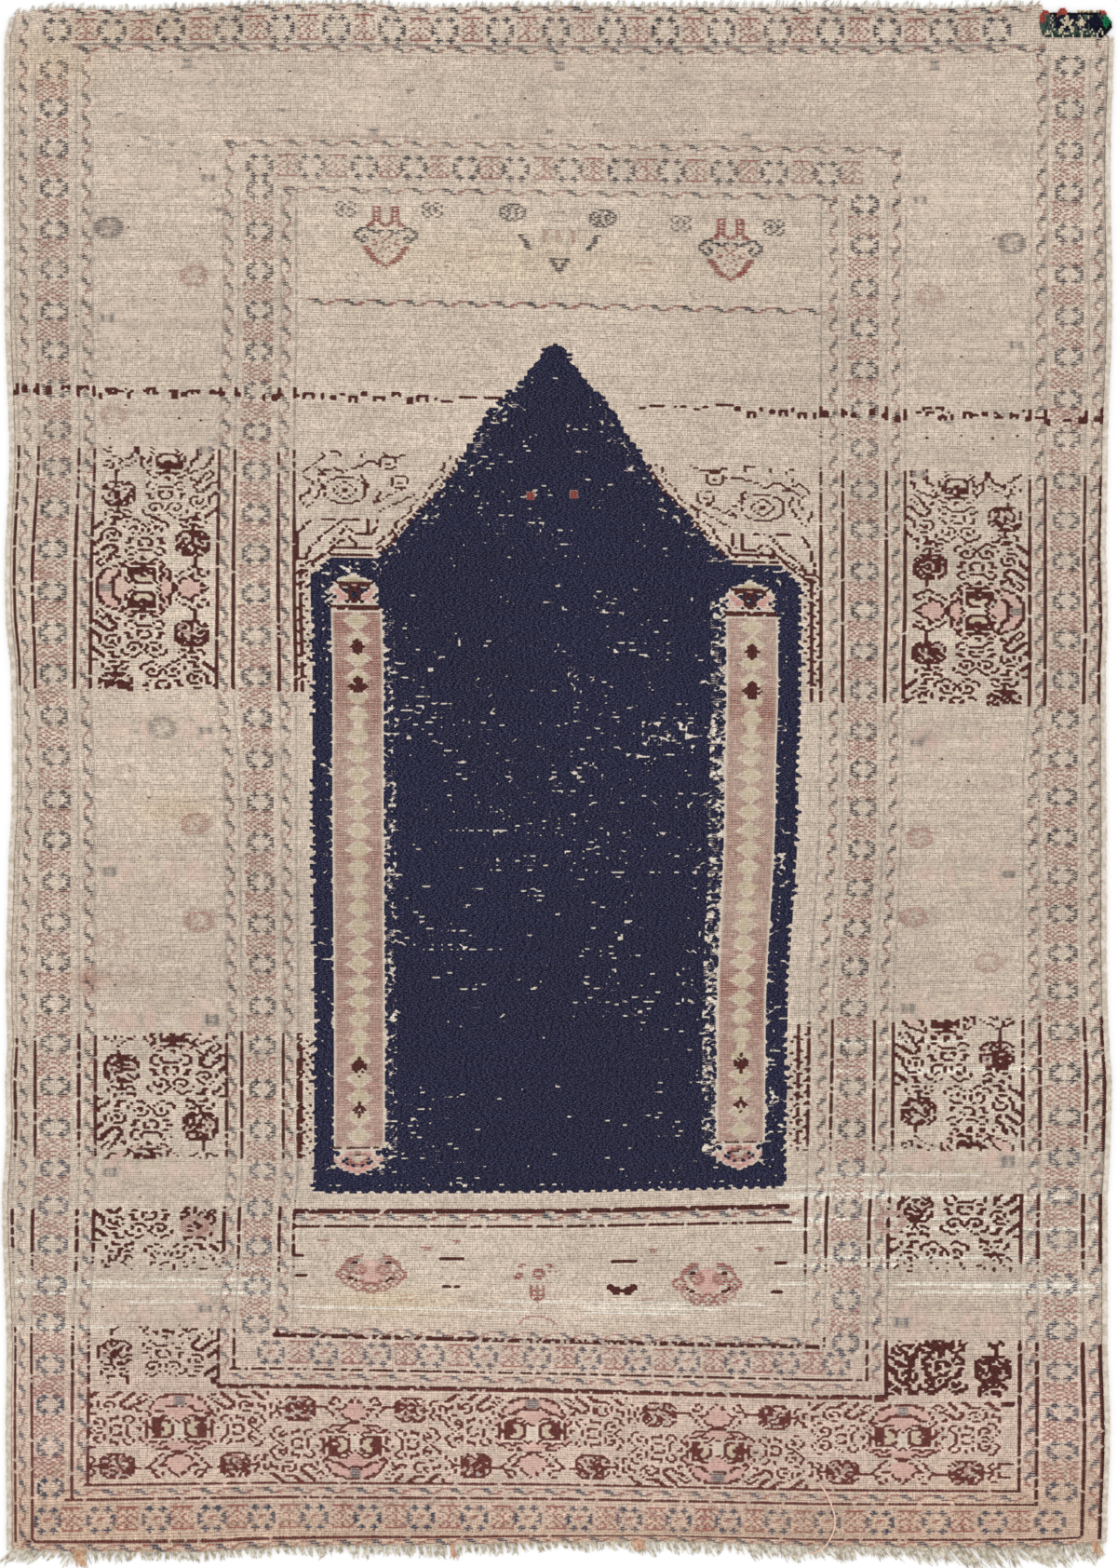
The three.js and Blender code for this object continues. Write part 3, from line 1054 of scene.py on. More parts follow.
TRACE_ROSETTE = chart("""
..rrrrr..
.rrr.rrr.
rr.r...rr
rrr...rrr
rr..r..rr
rrr...rrr
rr...r.rr
.rrr.rrr.
..rrrrr..
""")
TRACES = (
    # across, down, strength, yarn
    (119, 246, 0.5, BLUE),
    (1086, 254, 0.5, BLUE),
    (205, 299, 0.34, RED),
    (1000, 310, 0.2, RED),
    (122, 452, 0.24, RED),
    (206, 885, 0.4, RED),
    (210, 990, 0.4, RED),
    (176, 785, 0.3, BLUE),
    (992, 900, 0.36, RED),
    (990, 988, 0.36, RED),
    (1070, 1040, 0.2, RED),
    (118, 1006, 0.12, RED),
    (206, 1318, 0.40, RED),
    (975, 1318, 0.45, RED),
)
DARK_SPOTS = (
    (128, 124), (156, 150), (183, 156), (512, 125), (640, 132), (883, 143), (1024, 133), (590, 140),
    (440, 96), (690, 70), (230, 226), (480, 283), (960, 260), (1020, 445), (1080, 434), (300, 120),
)
WORN_LINES = (
    # down, from, to, yarn, strength
    (46, 80, 1102, GREY, 0.6),
    (59, 98, 1102, RED, 0.14),
    (150, 236, 973, RED, 0.22),
    (165, 252, 955, RED, 0.12),
    (198, 300, 900, GREY, 0.16),
)


def tie_traces():
    """Faint rosettes and dark spots where a little dyed wool is left in the bare ground."""
    for x, y, strength, kind in TRACES:
        figure = np.where(TRACE_ROSETTE >= 0, kind, -1)
        stamp(figure, x, y, strength)
    for y, x_from, x_to, kind, strength in WORN_LINES:
        stroke([(x_from, y), (x_to, y)], kind, strength)
    for x, y in DARK_SPOTS:
        dash(x, y, 3, 3, GREY, 0.5)
        dash(x, y + 3, 2, 1, BLUE, 0.4)


for border in ("top", "left", "right", "bottom"):
    tie_border(border)
tie_stripes()
tie_lines()
tie_spandrels()
tie_niche()
for shaft in SHAFTS:
    tie_shaft(shaft)
tie_panels()
tie_survivors()
rot_brown()
fade_dyes()
tie_traces()


def linear(red, green, blue):
    """A colour as the eye sees it, from 0 to 255, as the amount of light of each part."""
    values = np.array([red, green, blue]) / 255
    return np.where(values <= 0.04045, values / 12.92, ((values + 0.055) / 1.055) ** 2.4)


DYES = {
    IVORY: (206, 189, 170),
    NAVY: (13, 13, 35),
    BROWN: (68, 29, 26),
    BLUE: (44, 44, 54),
    RED: (140, 66, 60),
    PINK: (212, 158, 150),
    LILAC: (160, 150, 152),
    TAN: (196, 180, 146),
    GREY: (110, 106, 108),
    CREAM: (226, 212, 194),
}
GROUND = (223, 205, 187)
GROUND_LOW = (226, 201, 184)
GROUND_FOOT = (214, 185, 163)
WEFT = (226, 218, 204)
WEFT_LIGHT = 1.25
GROUND_BOW = 0.00015
LOW_BROWN = (92, 46, 42)
LOW_BLUE = (64, 70, 88)
LOW_RED = (150, 74, 70)
STAINS_AND_CREASE_LIGHT = (
    # across, down, half width, half height, how much of each colour stays, over 1 where a highlight is
    # painted
    (95, 1052, 12, 14, (0.80, 0.62, 0.60)),
    (1000, 790, 14, 10, (0.66, 0.64, 0.66)),
    (118, 246, 13, 10, (0.78, 0.76, 0.78)),
    (1088, 288, 12, 10, (0.82, 0.82, 0.84)),
    (215, 1322, 16, 9, (0.80, 0.68, 0.68)),
    # A painted highlight along the lengthwise fold crease, lighter than the ground
    (558, 260, 3, 120, (1.10, 1.10, 1.08)),
    (120, 1052, 60, 6, (0.90, 0.84, 0.82)),
    (60, 70, 45, 30, (0.97, 0.92, 0.84)),
    (160, 30, 90, 14, (0.93, 0.89, 0.84)),
    (185, 870, 40, 16, (0.97, 0.93, 0.84)),
    (420, 1402, 70, 16, (0.97, 0.95, 0.84)),
    (560, 280, 200, 30, (0.99, 0.98, 0.92)),
)
BARE_WEFT = (
    # left, right, top, bottom, one row in how many, how much of it
    (850, 1195, 1275, 1402, 3.0, 0.1),
    (905, 1195, 1100, 1275, 14.0, -0.2),
    (316, 850, 1395, 1425, 5.0, -0.1),
    (20, 300, 1360, 1430, 8.0, -0.2),
)
dye_table = np.array([linear(*DYES[kind]) for kind in range(len(DYES))])


def ground_colour():
    """The ivory ground at each knot: greyer or pinker by region, with streaks of weft, stains and a painted
    highlight along a fold crease.
    """
    ground = np.ones((ROWS, COLUMNS, 3)) * linear(*GROUND)
    low = np.interp(LAY_Y, (1380, 1500), (0, 1))[:, None, None]
    bowed = GRID_Y + GROUND_BOW * (GRID_X - 560) ** 2
    foot = np.interp(bowed, (1590, 1655), (0, 1))[..., None]
    for share, other in ((low, GROUND_LOW), (foot, GROUND_FOOT)):
        ground = ground * (1 - share) + linear(*other) * share
    streaks = 1 + 0.06 * soft_noise(201, 60, 1.2) + 0.05 * soft_noise(203, 16, 1.5)
    clouds = 1 + 0.06 * soft_noise(205, 60, 80) + 0.05 * soft_noise(206, 14, 18)
    rows = 1 + 0.025 * np.random.default_rng(207).normal(0, 1, (ROWS, 1))
    ground *= (streaks * clouds * rows)[..., None]
    # Stains darken the ground, and one painted highlight along a fold crease lightens it
    for x, y, wide, tall, shade in STAINS_AND_CREASE_LIGHT:
        blot = np.exp(-((GRID_X - x) / wide) ** 2 - ((GRID_Y - y) / tall) ** 2)[..., None]
        ground *= 1 - blot * (1 - np.array(shade))
    for left, right, top, bottom, every, share in BARE_WEFT:
        bare = np.random.default_rng(left).random((ROWS, 1)) < 1 / every
        bare = bare & (soft_noise(231, 25, 1) > -share) & zone(left, right, top, bottom)
        ground[bare] = linear(*WEFT) * WEFT_LIGHT
    return ground


def spread_colour(colour, cover):
    """Gives each bare knot the mean colour of the dyed knots round it."""
    weights = np.pad(cover, 1)
    colours = np.pad(colour * cover[..., None], ((1, 1), (1, 1), (0, 0)))
    total = np.zeros_like(colour)
    weight = np.zeros_like(cover)
    for down in range(3):
        for over in range(3):
            total += colours[down:down + ROWS, over:over + COLUMNS]
            weight += weights[down:down + ROWS, over:over + COLUMNS]
    mean = total / np.maximum(weight, 1e-6)[..., None]
    return np.where((cover > 0)[..., None], colour, mean), weight / 9


# Each knot has a dark layer, which is brown or navy, over a layer of the softer dyes. How
# much of the knot a layer covers is kept apart from how faded it is.
GHOST = 0.2
LOST = -0.1
THINNED = 0.46
NAVY_COVER = 1.5
ground = ground_colour()
is_navy = yarn == NAVY
lost = is_navy & (show < 0.2)
thinned = is_navy & (show > 0.2) & (show < 0.5)
ground[lost] = linear(*WEFT)
is_dark = (is_navy | (yarn == BROWN)) & (show >= GHOST)
dark_cover = np.where(is_dark, show, 0.0)
dark_cover[is_navy] = NAVY_COVER
dyed = dye_table[yarn]
low_blue = (yarn == BLUE) & (GRID_Y > 1240)
dyed[low_blue] = linear(*LOW_BLUE)
low_red = (yarn == RED) & (GRID_Y > 1100)
dyed[low_red] = linear(*LOW_RED)
dark = dyed.copy()
low_brown = (yarn == BROWN) & (GRID_Y > 1493) & (GRID_X < 1092)
dark[low_brown] = linear(*LOW_BROWN)
navy_streaks = 1 + 0.22 * soft_noise(221, 40, 1.5) + 0.14 * soft_noise(223, 30, 60)
dark[is_navy] *= navy_streaks[is_navy][:, None]
dark, near_dark = spread_colour(dark, dark_cover)
dark_cover[lost] = LOST
dark_cover[thinned] = THINNED
ground *= 1 + 0.22 * near_dark[..., None]
ground *= 1 + 0.12 * (luck(209) > 0.9)[..., None]

is_soft = (show > 0) & ~is_dark & ~is_navy
fine = np.isin(yarn, (BLUE, RED, GREY))
tint = np.where(fine, 0.50 + 0.75 * show, 1.05 * show)
tint = np.clip(np.where(yarn == BROWN, 1.3 * show, tint * np.minimum(1, show / 0.08)), 0, 1)[..., None]
soft_cover = np.where(fine, 0.46 + 0.42 * show, 0.95 + 0.4 * show)
soft_cover = np.where(is_soft, soft_cover, 0.0)
soft, near_soft = spread_colour(ground * (1 - tint) + dyed * tint, soft_cover)
soft_cover = np.where(is_dark, near_soft, soft_cover)

# How high each knot stands on the floor, in millimetres
WORN = 2.7
NAVY_STANDS = 3.95
BARE_WARP = 1.9
DYED_RISE = 0.35
stand = WORN + 0.16 * soft_noise(211, 5, 5) + 0.12 * (luck(213) - 0.5)
stand += DYED_RISE * show * np.isin(yarn, (BLUE, RED, PINK, TAN, CREAM, BROWN))
navy_stand = NAVY_STANDS + 0.22 * soft_noise(217, 2, 1.5) + 0.16 * (luck(219) - 0.5)
stand[is_navy] = navy_stand[is_navy]
stand[lost] = BARE_WARP


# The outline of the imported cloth, read from its back rim
def rim_of(node):
    places = np.array([vertex.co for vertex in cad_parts[node].data.vertices])
    return places[places[:, 2] < 0.01 * MM]


rim = rim_of("rug_cloth")
NEAR = 60 * MM
SAME = 1.5 * MM


def edge_line(along, across, outwards):
    """Sorted places of one edge: how far along, and how far across at the outermost."""
    limit = (rim[:, across] * outwards).max() - NEAR / 4
    near = rim[rim[:, across] * outwards > limit]
    order = near[np.argsort(near[:, along])]
    kept = []
    for point in order:
        if kept and point[along] - kept[-1][0] < SAME:
            if point[across] * outwards > kept[-1][1] * outwards:
                kept[-1] = (kept[-1][0], point[across])
            continue
        kept.append((point[along], point[across]))
    return np.array(kept)


LEFT_EDGE = edge_line(1, 0, -1)
RIGHT_EDGE = edge_line(1, 0, 1)
BOTTOM_EDGE = edge_line(0, 1, -1)
TOP_EDGE = edge_line(0, 1, 1)

# How far the weaving wanders from the straight layout, in millimetres: to the right by
# place across, and down by place across, in rows from the top
DRIFT_ACROSS_AT = (41, 90, 240, 320, 600, 862, 900, 962, 1115)
DRIFT_RIGHT = (
    # down, then the drift at each place across
    (40, (-4, -3, 4, 2, 0, 0, 0, 1, 2)),
    (200, (-4, -3, 4, 2, 0, 0, 0, 1, 2)),
    (330, (-3, -3, 4, 2, 0, 0, 0, 0, 1)),
    (485, (0, 0, 0, 0, -5, 0, 0, 0, 0)),
    (630, (-7, -4, -2, 0, -3, 0, 0, 0, 0)),
    (730, (-4, -5, -3, 2, 0, 0, 0, -2, 0)),
    (850, (0, -1, 5, 2, 0, -3, 0, -3, -8)),
    (1110, (-4, 0, 8, 4, 0, -15, -11, -13, -7)),
    (1236, (-4, 0, 8, 4, 0, -16, -13, -14, -7)),
    (1330, (-7, -2, 5, -1, 0, -15, -18, -19, -9)),
    (1450, (-8, -7, -1, -2, 0, -17, -20, -21, -10)),
    (1600, (-7, -8, -1, -2, 0, -17, -20, -21, -11)),
)
DRIFT_DOWN_AT = (0, 300, 600, 900, 1200)
DRIFT_DOWN = (
    (51, (0, 0, 3, 3, 0)),
    (160, (-2, -4, 0, 4, 5)),
    (325, (-2, -4, 1, 8, 8)),
    (425, (-4, -5, 2, 8, 10)),
    (500, (-8, -6, 0, 6, 10)),
    (605, (-8, -5, 0, 6, 9)),
    (745, (-4, -3, 0, 4, 6)),
    (900, (0, 0, 0, 0, 0)),
    (1110, (1, 1, 0, -4, -10)),
    (1230, (4, 4, 0, -5, -4)),
    (1300, (0, 0, 0, -6, -6)),
    (1440, (-4, -5, 2, 8, 8)),
    (1493, (-4, -5, 0, 7, 8)),
    (1600, (-1, -5, -3, 3, 5)),
    (1642, (3, -3, -1, 3, 1)),
)


def smooth_between(x, places, values):
    """Values between places, with a level run at each place."""
    places = np.asarray(places, float)
    values = np.asarray(values, float)
    index = np.clip(np.searchsorted(places, x, side="right") - 1, 0, len(places) - 2)
    share = np.clip((x - places[index]) / (places[index + 1] - places[index]), 0, 1)
    share = share * share * (3 - 2 * share)
    return values[index] * (1 - share) + values[index + 1] * share


def woven_grid(x, y):
    """Where places of the layout really lie, in metres."""
    down_x = np.array([smooth_between(y, [r[0] for r in DRIFT_RIGHT], [r[1][k] for r in DRIFT_RIGHT])
                       for k in range(len(DRIFT_ACROSS_AT))])
    down_y = np.array([np.interp(x, DRIFT_DOWN_AT, r[1]) for r in DRIFT_DOWN])
    left = np.interp(place_y(y)[::-1], LEFT_EDGE[:, 0], LEFT_EDGE[:, 1])[::-1]
    right = np.interp(place_y(y)[::-1], RIGHT_EDGE[:, 0], RIGHT_EDGE[:, 1])[::-1]
    top = np.interp(place_x(x), TOP_EDGE[:, 0], TOP_EDGE[:, 1])
    bottom = np.interp(place_x(x), BOTTOM_EDGE[:, 0], BOTTOM_EDGE[:, 1])
    grid = np.zeros((len(y), len(x), 3))
    for j in range(len(y)):
        places = (x[0],) + DRIFT_ACROSS_AT + (x[-1],)
        drift_left = (left[j] - place_x(x[0])) / MM
        drift_right = (right[j] - place_x(x[-1])) / MM
        drift = (drift_left,) + tuple(down_x[:, j]) + (drift_right,)
        grid[j, :, 0] = place_x(x + np.interp(x, places, drift))
    for i in range(len(x)):
        places = [y[0]] + [r[0] for r in DRIFT_DOWN] + [y[-1]]
        drift_top = (place_y(y[0]) - top[i]) / MM
        drift_bottom = (place_y(y[-1]) - bottom[i]) / MM
        drift = [drift_top] + list(down_y[:, i]) + [drift_bottom]
        grid[:, i, 1] = place_y(y + smooth_between(y, places, drift))
    return grid


# Shader building
def new_material(name):
    material = bpy.data.materials.new(name)
    material.use_nodes = True
    material.node_tree.nodes.clear()
    return material, material.node_tree


def join(tree, value, socket):
    """Feeds a socket from another socket, a number or a tuple."""
    if isinstance(value, bpy.types.NodeSocket):
        tree.links.new(value, socket)
    elif value is not None:
        socket.default_value = value


def maths(tree, operation, *values, kind="ShaderNodeMath"):
    node = tree.nodes.new(kind)
    node.operation = operation
    for value, socket in zip(values, node.inputs):
        join(tree, value, socket)
    return node.outputs[0]


def vector_maths(tree, operation, *values):
    return maths(tree, operation, *values, kind="ShaderNodeVectorMath")


def times(tree, first, second):
    return maths(tree, "MULTIPLY", first, second)


def sloped(tree, value, slope, start):
    """A value times a slope, from a start."""
    return maths(tree, "MULTIPLY_ADD", value, slope, start)


def size(tree, value):
    return maths(tree, "ABSOLUTE", value)


def ramp(tree, value, low, high):
    """A soft step from 0 at the low value to 1 at the high one."""
    node = tree.nodes.new("ShaderNodeMapRange")
    node.interpolation_type = "SMOOTHSTEP"
    for name, given in (("Value", value), ("From Min", low), ("From Max", high)):
        join(tree, given, node.inputs[name])
    return node.outputs["Result"]


def blend_colour(tree, share, first, second):
    """Two colours mixed by a share of the second."""
    node = tree.nodes.new("ShaderNodeMix")
    node.data_type = "RGBA"
    join(tree, share, node.inputs["Factor"])
    sockets = [socket for socket in node.inputs if socket.type == "RGBA"]
    join(tree, first, sockets[0])
    join(tree, second, sockets[1])
    return [socket for socket in node.outputs if socket.type == "RGBA"][0]


def scaled(tree, colour, factor):
    """A colour times a number."""
    return vector_maths(tree, "SCALE", colour, None, None, factor)


def noise(tree, vector, scale, detail=2.0, rough=0.6, output="Fac"):
    node = tree.nodes.new("ShaderNodeTexNoise")
    join(tree, vector, node.inputs["Vector"])
    for name, given in (("Scale", scale), ("Detail", detail), ("Roughness", rough)):
        node.inputs[name].default_value = given
    return node.outputs[output]


ROUGH_WOOL = 0.95
WOOL_SHEEN = 0.05


def wool(tree, colour, height, distance):
    """The matt wool surface that every piece ends in."""
    bump = tree.nodes.new("ShaderNodeBump")
    bump.inputs["Distance"].default_value = distance
    join(tree, height, bump.inputs["Height"])
    shader = tree.nodes.new("ShaderNodeBsdfPrincipled")
    join(tree, colour, shader.inputs["Base Color"])
    shader.inputs["Roughness"].default_value = ROUGH_WOOL
    shader.inputs["Specular IOR Level"].default_value = WOOL_SHEEN
    join(tree, bump.outputs["Normal"], shader.inputs["Normal"])
    output = tree.nodes.new("ShaderNodeOutputMaterial")
    join(tree, shader.outputs[0], output.inputs["Surface"])


def attribute(tree, name):
    node = tree.nodes.new("ShaderNodeAttribute")
    node.attribute_name = name
    return node


SWAY = (0.7, 0.6, 0.0)
SWAY_SCALE = 0.45


def knot_cell(tree):
    """Place in knots, a little swayed, and its distance from the middle of a knot each way."""
    uv = tree.nodes.new("ShaderNodeUVMap")
    uv.uv_map = "knots"
    sway = noise(tree, uv.outputs[0], SWAY_SCALE, 2.0, 0.5, "Color")
    place = vector_maths(tree, "MULTIPLY_ADD", sway, SWAY, uv.outputs[0])
    split = tree.nodes.new("ShaderNodeSeparateXYZ")
    join(tree, place, split.inputs[0])
    across, down = (
        maths(tree, "SUBTRACT", maths(tree, "FRACT", maths(tree, "ADD", split.outputs[k], half_sway)), 0.5)
        for k, half_sway in ((0, 0.35), (1, 0.45))
    )
    return across, down, place


def stretched(tree, place, across, down):
    """A place scaled by a number each way."""
    return vector_maths(tree, "MULTIPLY", place, (across, down, 1.0))


def leaning(tree, place):
    """A place stretched so that a noise over it runs in short leaning strands."""
    node = tree.nodes.new("ShaderNodeMapping")
    join(tree, place, node.inputs["Vector"])
    node.inputs["Rotation"].default_value = (0, 0, 0.7)
    node.inputs["Scale"].default_value = (1.3, 3.2, 1.0)
    return node.outputs[0]


def random_cells(tree, place):
    """A random number for each whole cell of a place."""
    random = tree.nodes.new("ShaderNodeTexWhiteNoise")
    random.noise_dimensions = "2D"
    join(tree, vector_maths(tree, "FLOOR", place), random.inputs["Vector"])
    return random.outputs["Value"]


def layer_share(tree, cover, threshold, soft_edge):
    """How much a layer covers here: all of it where its cover is over the threshold."""
    over = maths(tree, "SUBTRACT", cover, threshold)
    return ramp(tree, over, 0.0, soft_edge)


# The light that worn ends of wool catch, on brown and on navy
BROWN_SPECK = (0.120, 0.070, 0.062, 1)
NAVY_SPECK = (0.112, 0.110, 0.178, 1)


def knot_gaps(tree, across, down, place, lucky):
    """The gaps between rows of knots and between the two loops of a knot: painted shade for the colour and
    depth for the bump.
    """
    rib = maths(tree, "SUBTRACT", size(tree, across), 0.25)
    rib_gap = ramp(tree, size(tree, rib), 0.10, 0.25)
    row_gap = ramp(tree, size(tree, down), 0.20, 0.5)
    row_run = ramp(tree, noise(tree, stretched(tree, place, 0.16, 0.95), 1.0), 0.40, 0.66)
    rib_run = ramp(tree, noise(tree, stretched(tree, place, 1.1, 0.10), 1.0), 0.42, 0.64)
    # Painted shade between rows and between loops, patchy along each run
    row_shade = times(tree, row_gap, sloped(tree, row_run, 0.36, 0.36))
    rib_shade = times(tree, rib_gap, sloped(tree, rib_run, 0.30, 0.26))
    pit = times(tree, times(tree, row_gap, rib_gap), sloped(tree, lucky, 0.40, 0.56))
    gap = maths(tree, "MAXIMUM", maths(tree, "MAXIMUM", row_shade, rib_shade), pit)
    return gap, rib_gap, row_gap


def speckled(tree, colour, light, strand):
    """Dark wool with paler strands painted as highlights where worn ends catch the light, brown on brown and
    blue on navy.
    """
    split = tree.nodes.new("ShaderNodeSeparateColor")
    join(tree, colour, split.inputs[0])
    blueness = ramp(tree, maths(tree, "SUBTRACT", split.outputs[2], split.outputs[0]), -0.02, 0.01)
    speck = blend_colour(tree, blueness, BROWN_SPECK, NAVY_SPECK)
    return vector_maths(tree, "MULTIPLY_ADD", strand, speck, scaled(tree, colour, light))


def knotted_material(name, gap_shade):
    """Wool knots in rows on two warps each, with dyes in dashes that merge where wool is left, and painted
    shade in the gaps between knots.
    """
    material, tree = new_material(name)
    across, down, place = knot_cell(tree)
    lucky = random_cells(tree, stretched(tree, place, 2.0, 1.0))
    fuzz = noise(tree, place, 2.2, 3.0)
    gap, rib_gap, row_gap = knot_gaps(tree, across, down, place, lucky)
    light = times(tree, sloped(tree, lucky, 0.50, 0.76), sloped(tree, fuzz, 0.44, 0.78))
    # Painted shade in the gaps between knots darkens the ground
    light = times(tree, light, sloped(tree, gap, -gap_shade, 1.0))
    colour = scaled(tree, attribute(tree, "ground").outputs["Color"], light)

    slanted = size(tree, sloped(tree, across, 0.27, down))
    threshold = sloped(tree, ramp(tree, slanted, 0.08, 0.44), 0.62, 0.26)
    threshold = sloped(tree, ramp(tree, size(tree, across), 0.28, 0.5), 0.16, threshold)
    soft = attribute(tree, "soft")
    # The soft dyes get the same painted shade in the gaps, a little weaker
    light = times(tree, sloped(tree, lucky, 0.30, 0.86), sloped(tree, gap, -0.7 * gap_shade, 1.0))
    soft_colour = scaled(tree, soft.outputs["Color"], light)
    soft_share = layer_share(tree, soft.outputs["Alpha"], threshold, 0.14)
    colour = blend_colour(tree, soft_share, colour, soft_colour)

    threshold = sloped(tree, ramp(tree, slanted, 0.24, 0.50), 0.30, 0.36)
    threshold = sloped(tree, fuzz, -0.16, threshold)
    dark = attribute(tree, "dark")
    # Paler strands of painted highlight on the dark layer
    strand = ramp(tree, noise(tree, leaning(tree, place), 1.0), 0.42, 0.72)
    strand = times(tree, strand, sloped(tree, rib_gap, -0.65, 1.0))
    # Painted shade in the gaps between rows darkens the dark dyes
    light = times(tree, sloped(tree, lucky, 0.5, 0.75), sloped(tree, row_gap, -0.35, 1.12))
    dark_colour = speckled(tree, dark.outputs["Color"], light, strand)
    dark_share = layer_share(tree, dark.outputs["Alpha"], threshold, 0.10)
    colour = blend_colour(tree, dark_share, colour, dark_colour)

    height = sloped(tree, fuzz, 0.9, maths(tree, "SUBTRACT", 1.0, gap))
    wool(tree, colour, height, 0.5 * MM)
    return material


def add_piece(name, places, faces, material, smooth=True):
    """A mesh piece that lies on the floor with the rest of the rug."""
    mesh = bpy.data.meshes.new(name)
    mesh.from_pydata(places, [], faces)
    mesh.materials.append(material)
    mesh.polygons.foreach_set("use_smooth", [smooth] * len(mesh.polygons))
    piece = bpy.data.objects.new(name, mesh)
    bpy.context.scene.collection.objects.link(piece)
    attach(piece, "root")
    return piece


def add_uv(mesh, name, values):
    layer = mesh.uv_layers.new(name=name)
    layer.data.foreach_set("uv", np.asarray(values, np.float32).ravel())


def add_colours(mesh, name, values, domain="POINT"):
    """Colours with a share as their fourth number, for each point or each face corner."""
    layer = mesh.attributes.new(name, "FLOAT_COLOR", domain)
    layer.data.foreach_set("color", np.asarray(values, np.float32).ravel())


def add_knots(mesh, columns, rows):
    """The place in knots of each point, and a map for baking that fills its square."""
    corner = np.zeros(len(mesh.loops), np.int32)
    mesh.loops.foreach_get("vertex_index", corner)
    knots = np.stack([columns, rows], axis=-1)
    add_uv(mesh, "knots", knots[corner])
    flat = np.stack([columns - columns.min(), rows.max() - rows], axis=-1)
    add_uv(mesh, "OFBake", (flat / flat.max(axis=0))[corner])


def add_layers(mesh, row, column):
    """Ground, soft dyes and dark dyes at each point, from the knot at that row and column."""
    add_colours(mesh, "ground", np.c_[ground[row, column], np.ones(len(row))])
    add_colours(mesh, "soft", np.c_[soft[row, column], soft_cover[row, column]])
    add_colours(mesh, "dark", np.c_[dark[row, column], dark_cover[row, column]])


# Shallow ripples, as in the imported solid
RIPPLE = 0.22
NOTCH = (1117, 1300, 0, 40)
BACK_TOP = 1.2


def ripple(grid):
    x = grid[..., 0] / MM
    y = grid[..., 1] / MM
    return RIPPLE * (np.sin(x / 71 + y / 167) + np.sin(y / 59 - x / 193))


# The pile has a point on the middle of every knot, and on the rug's edge all round
POINT_COLUMNS = np.r_[0, np.arange(COLUMNS) + 0.5, COLUMNS]
POINT_ROWS = np.r_[0, np.arange(ROWS) + 0.5, ROWS]
POINT_X = DESIGN_LEFT + KNOT_WIDE * POINT_COLUMNS
POINT_Y = DESIGN_TOP + KNOT_TALL * POINT_ROWS


def quads_in(left, right, top, bottom):
    """The pile's quads whose middles are inside a rectangle of the layout."""
    x = (POINT_X[1:] + POINT_X[:-1]) / 2
    y = (POINT_Y[1:] + POINT_Y[:-1]) / 2
    return ((y > top) & (y < bottom))[:, None] & ((x > left) & (x < right))[None, :]


def raised_grid(present):
    """The pile's points, each as high as its knot and low on the rug's edge."""
    grid = woven_grid(POINT_X, POINT_Y)
    height = np.pad(stand, 1, mode="edge")
    grid[..., 2] = (height + 0.6 * ripple(grid)) * MM
    padded = np.pad(present, 1)
    whole = padded[:-1, :-1] & padded[1:, :-1] & padded[:-1, 1:] & padded[1:, 1:]
    grid[..., 2][~whole] = BACK_TOP * MM
    return grid


PILE_PARTS = {
    # name: first and last column and row, in the layout
    "pile_head": (0, 1200, 0, 211),
    "pile_left": (0, 316, 211, 1428),
    "pile_field": (316, 883, 211, 1428),
    "pile_right": (883, 1200, 211, 1428),
    "pile_foot": (0, 1200, 1428, 1700),
}


def make_pile(material):
    notch = quads_in(*NOTCH)
    grid = raised_grid(~notch)
    turned = np.random.default_rng(43).random(notch.shape) < 0.5
    made = []
    for name, part in PILE_PARTS.items():
        row, column = np.nonzero(quads_in(*part) & ~notch)
        wide = COLUMNS + 2
        corner = row * wide + column
        quads = np.stack([corner + wide, corner + wide + 1, corner + 1, corner], axis=1)
        quads = np.where(turned[row, column][:, None], np.roll(quads, 1, axis=1), quads)
        used, faces = np.unique(quads, return_inverse=True)
        places = grid.reshape(-1, 3)[used]
        piece = add_piece(name, places.tolist(), faces.reshape(-1, 4).tolist(), material)
        point_row, point_column = np.divmod(used, wide)
        add_knots(piece.data, POINT_COLUMNS[point_column], POINT_ROWS[point_row])
        knot_row = np.clip(point_row - 1, 0, ROWS - 1)
        knot_column = np.clip(point_column - 1, 0, COLUMNS - 1)
        add_layers(piece.data, knot_row, knot_column)
        made.append(piece)
    return made


BACK_STEP = 2


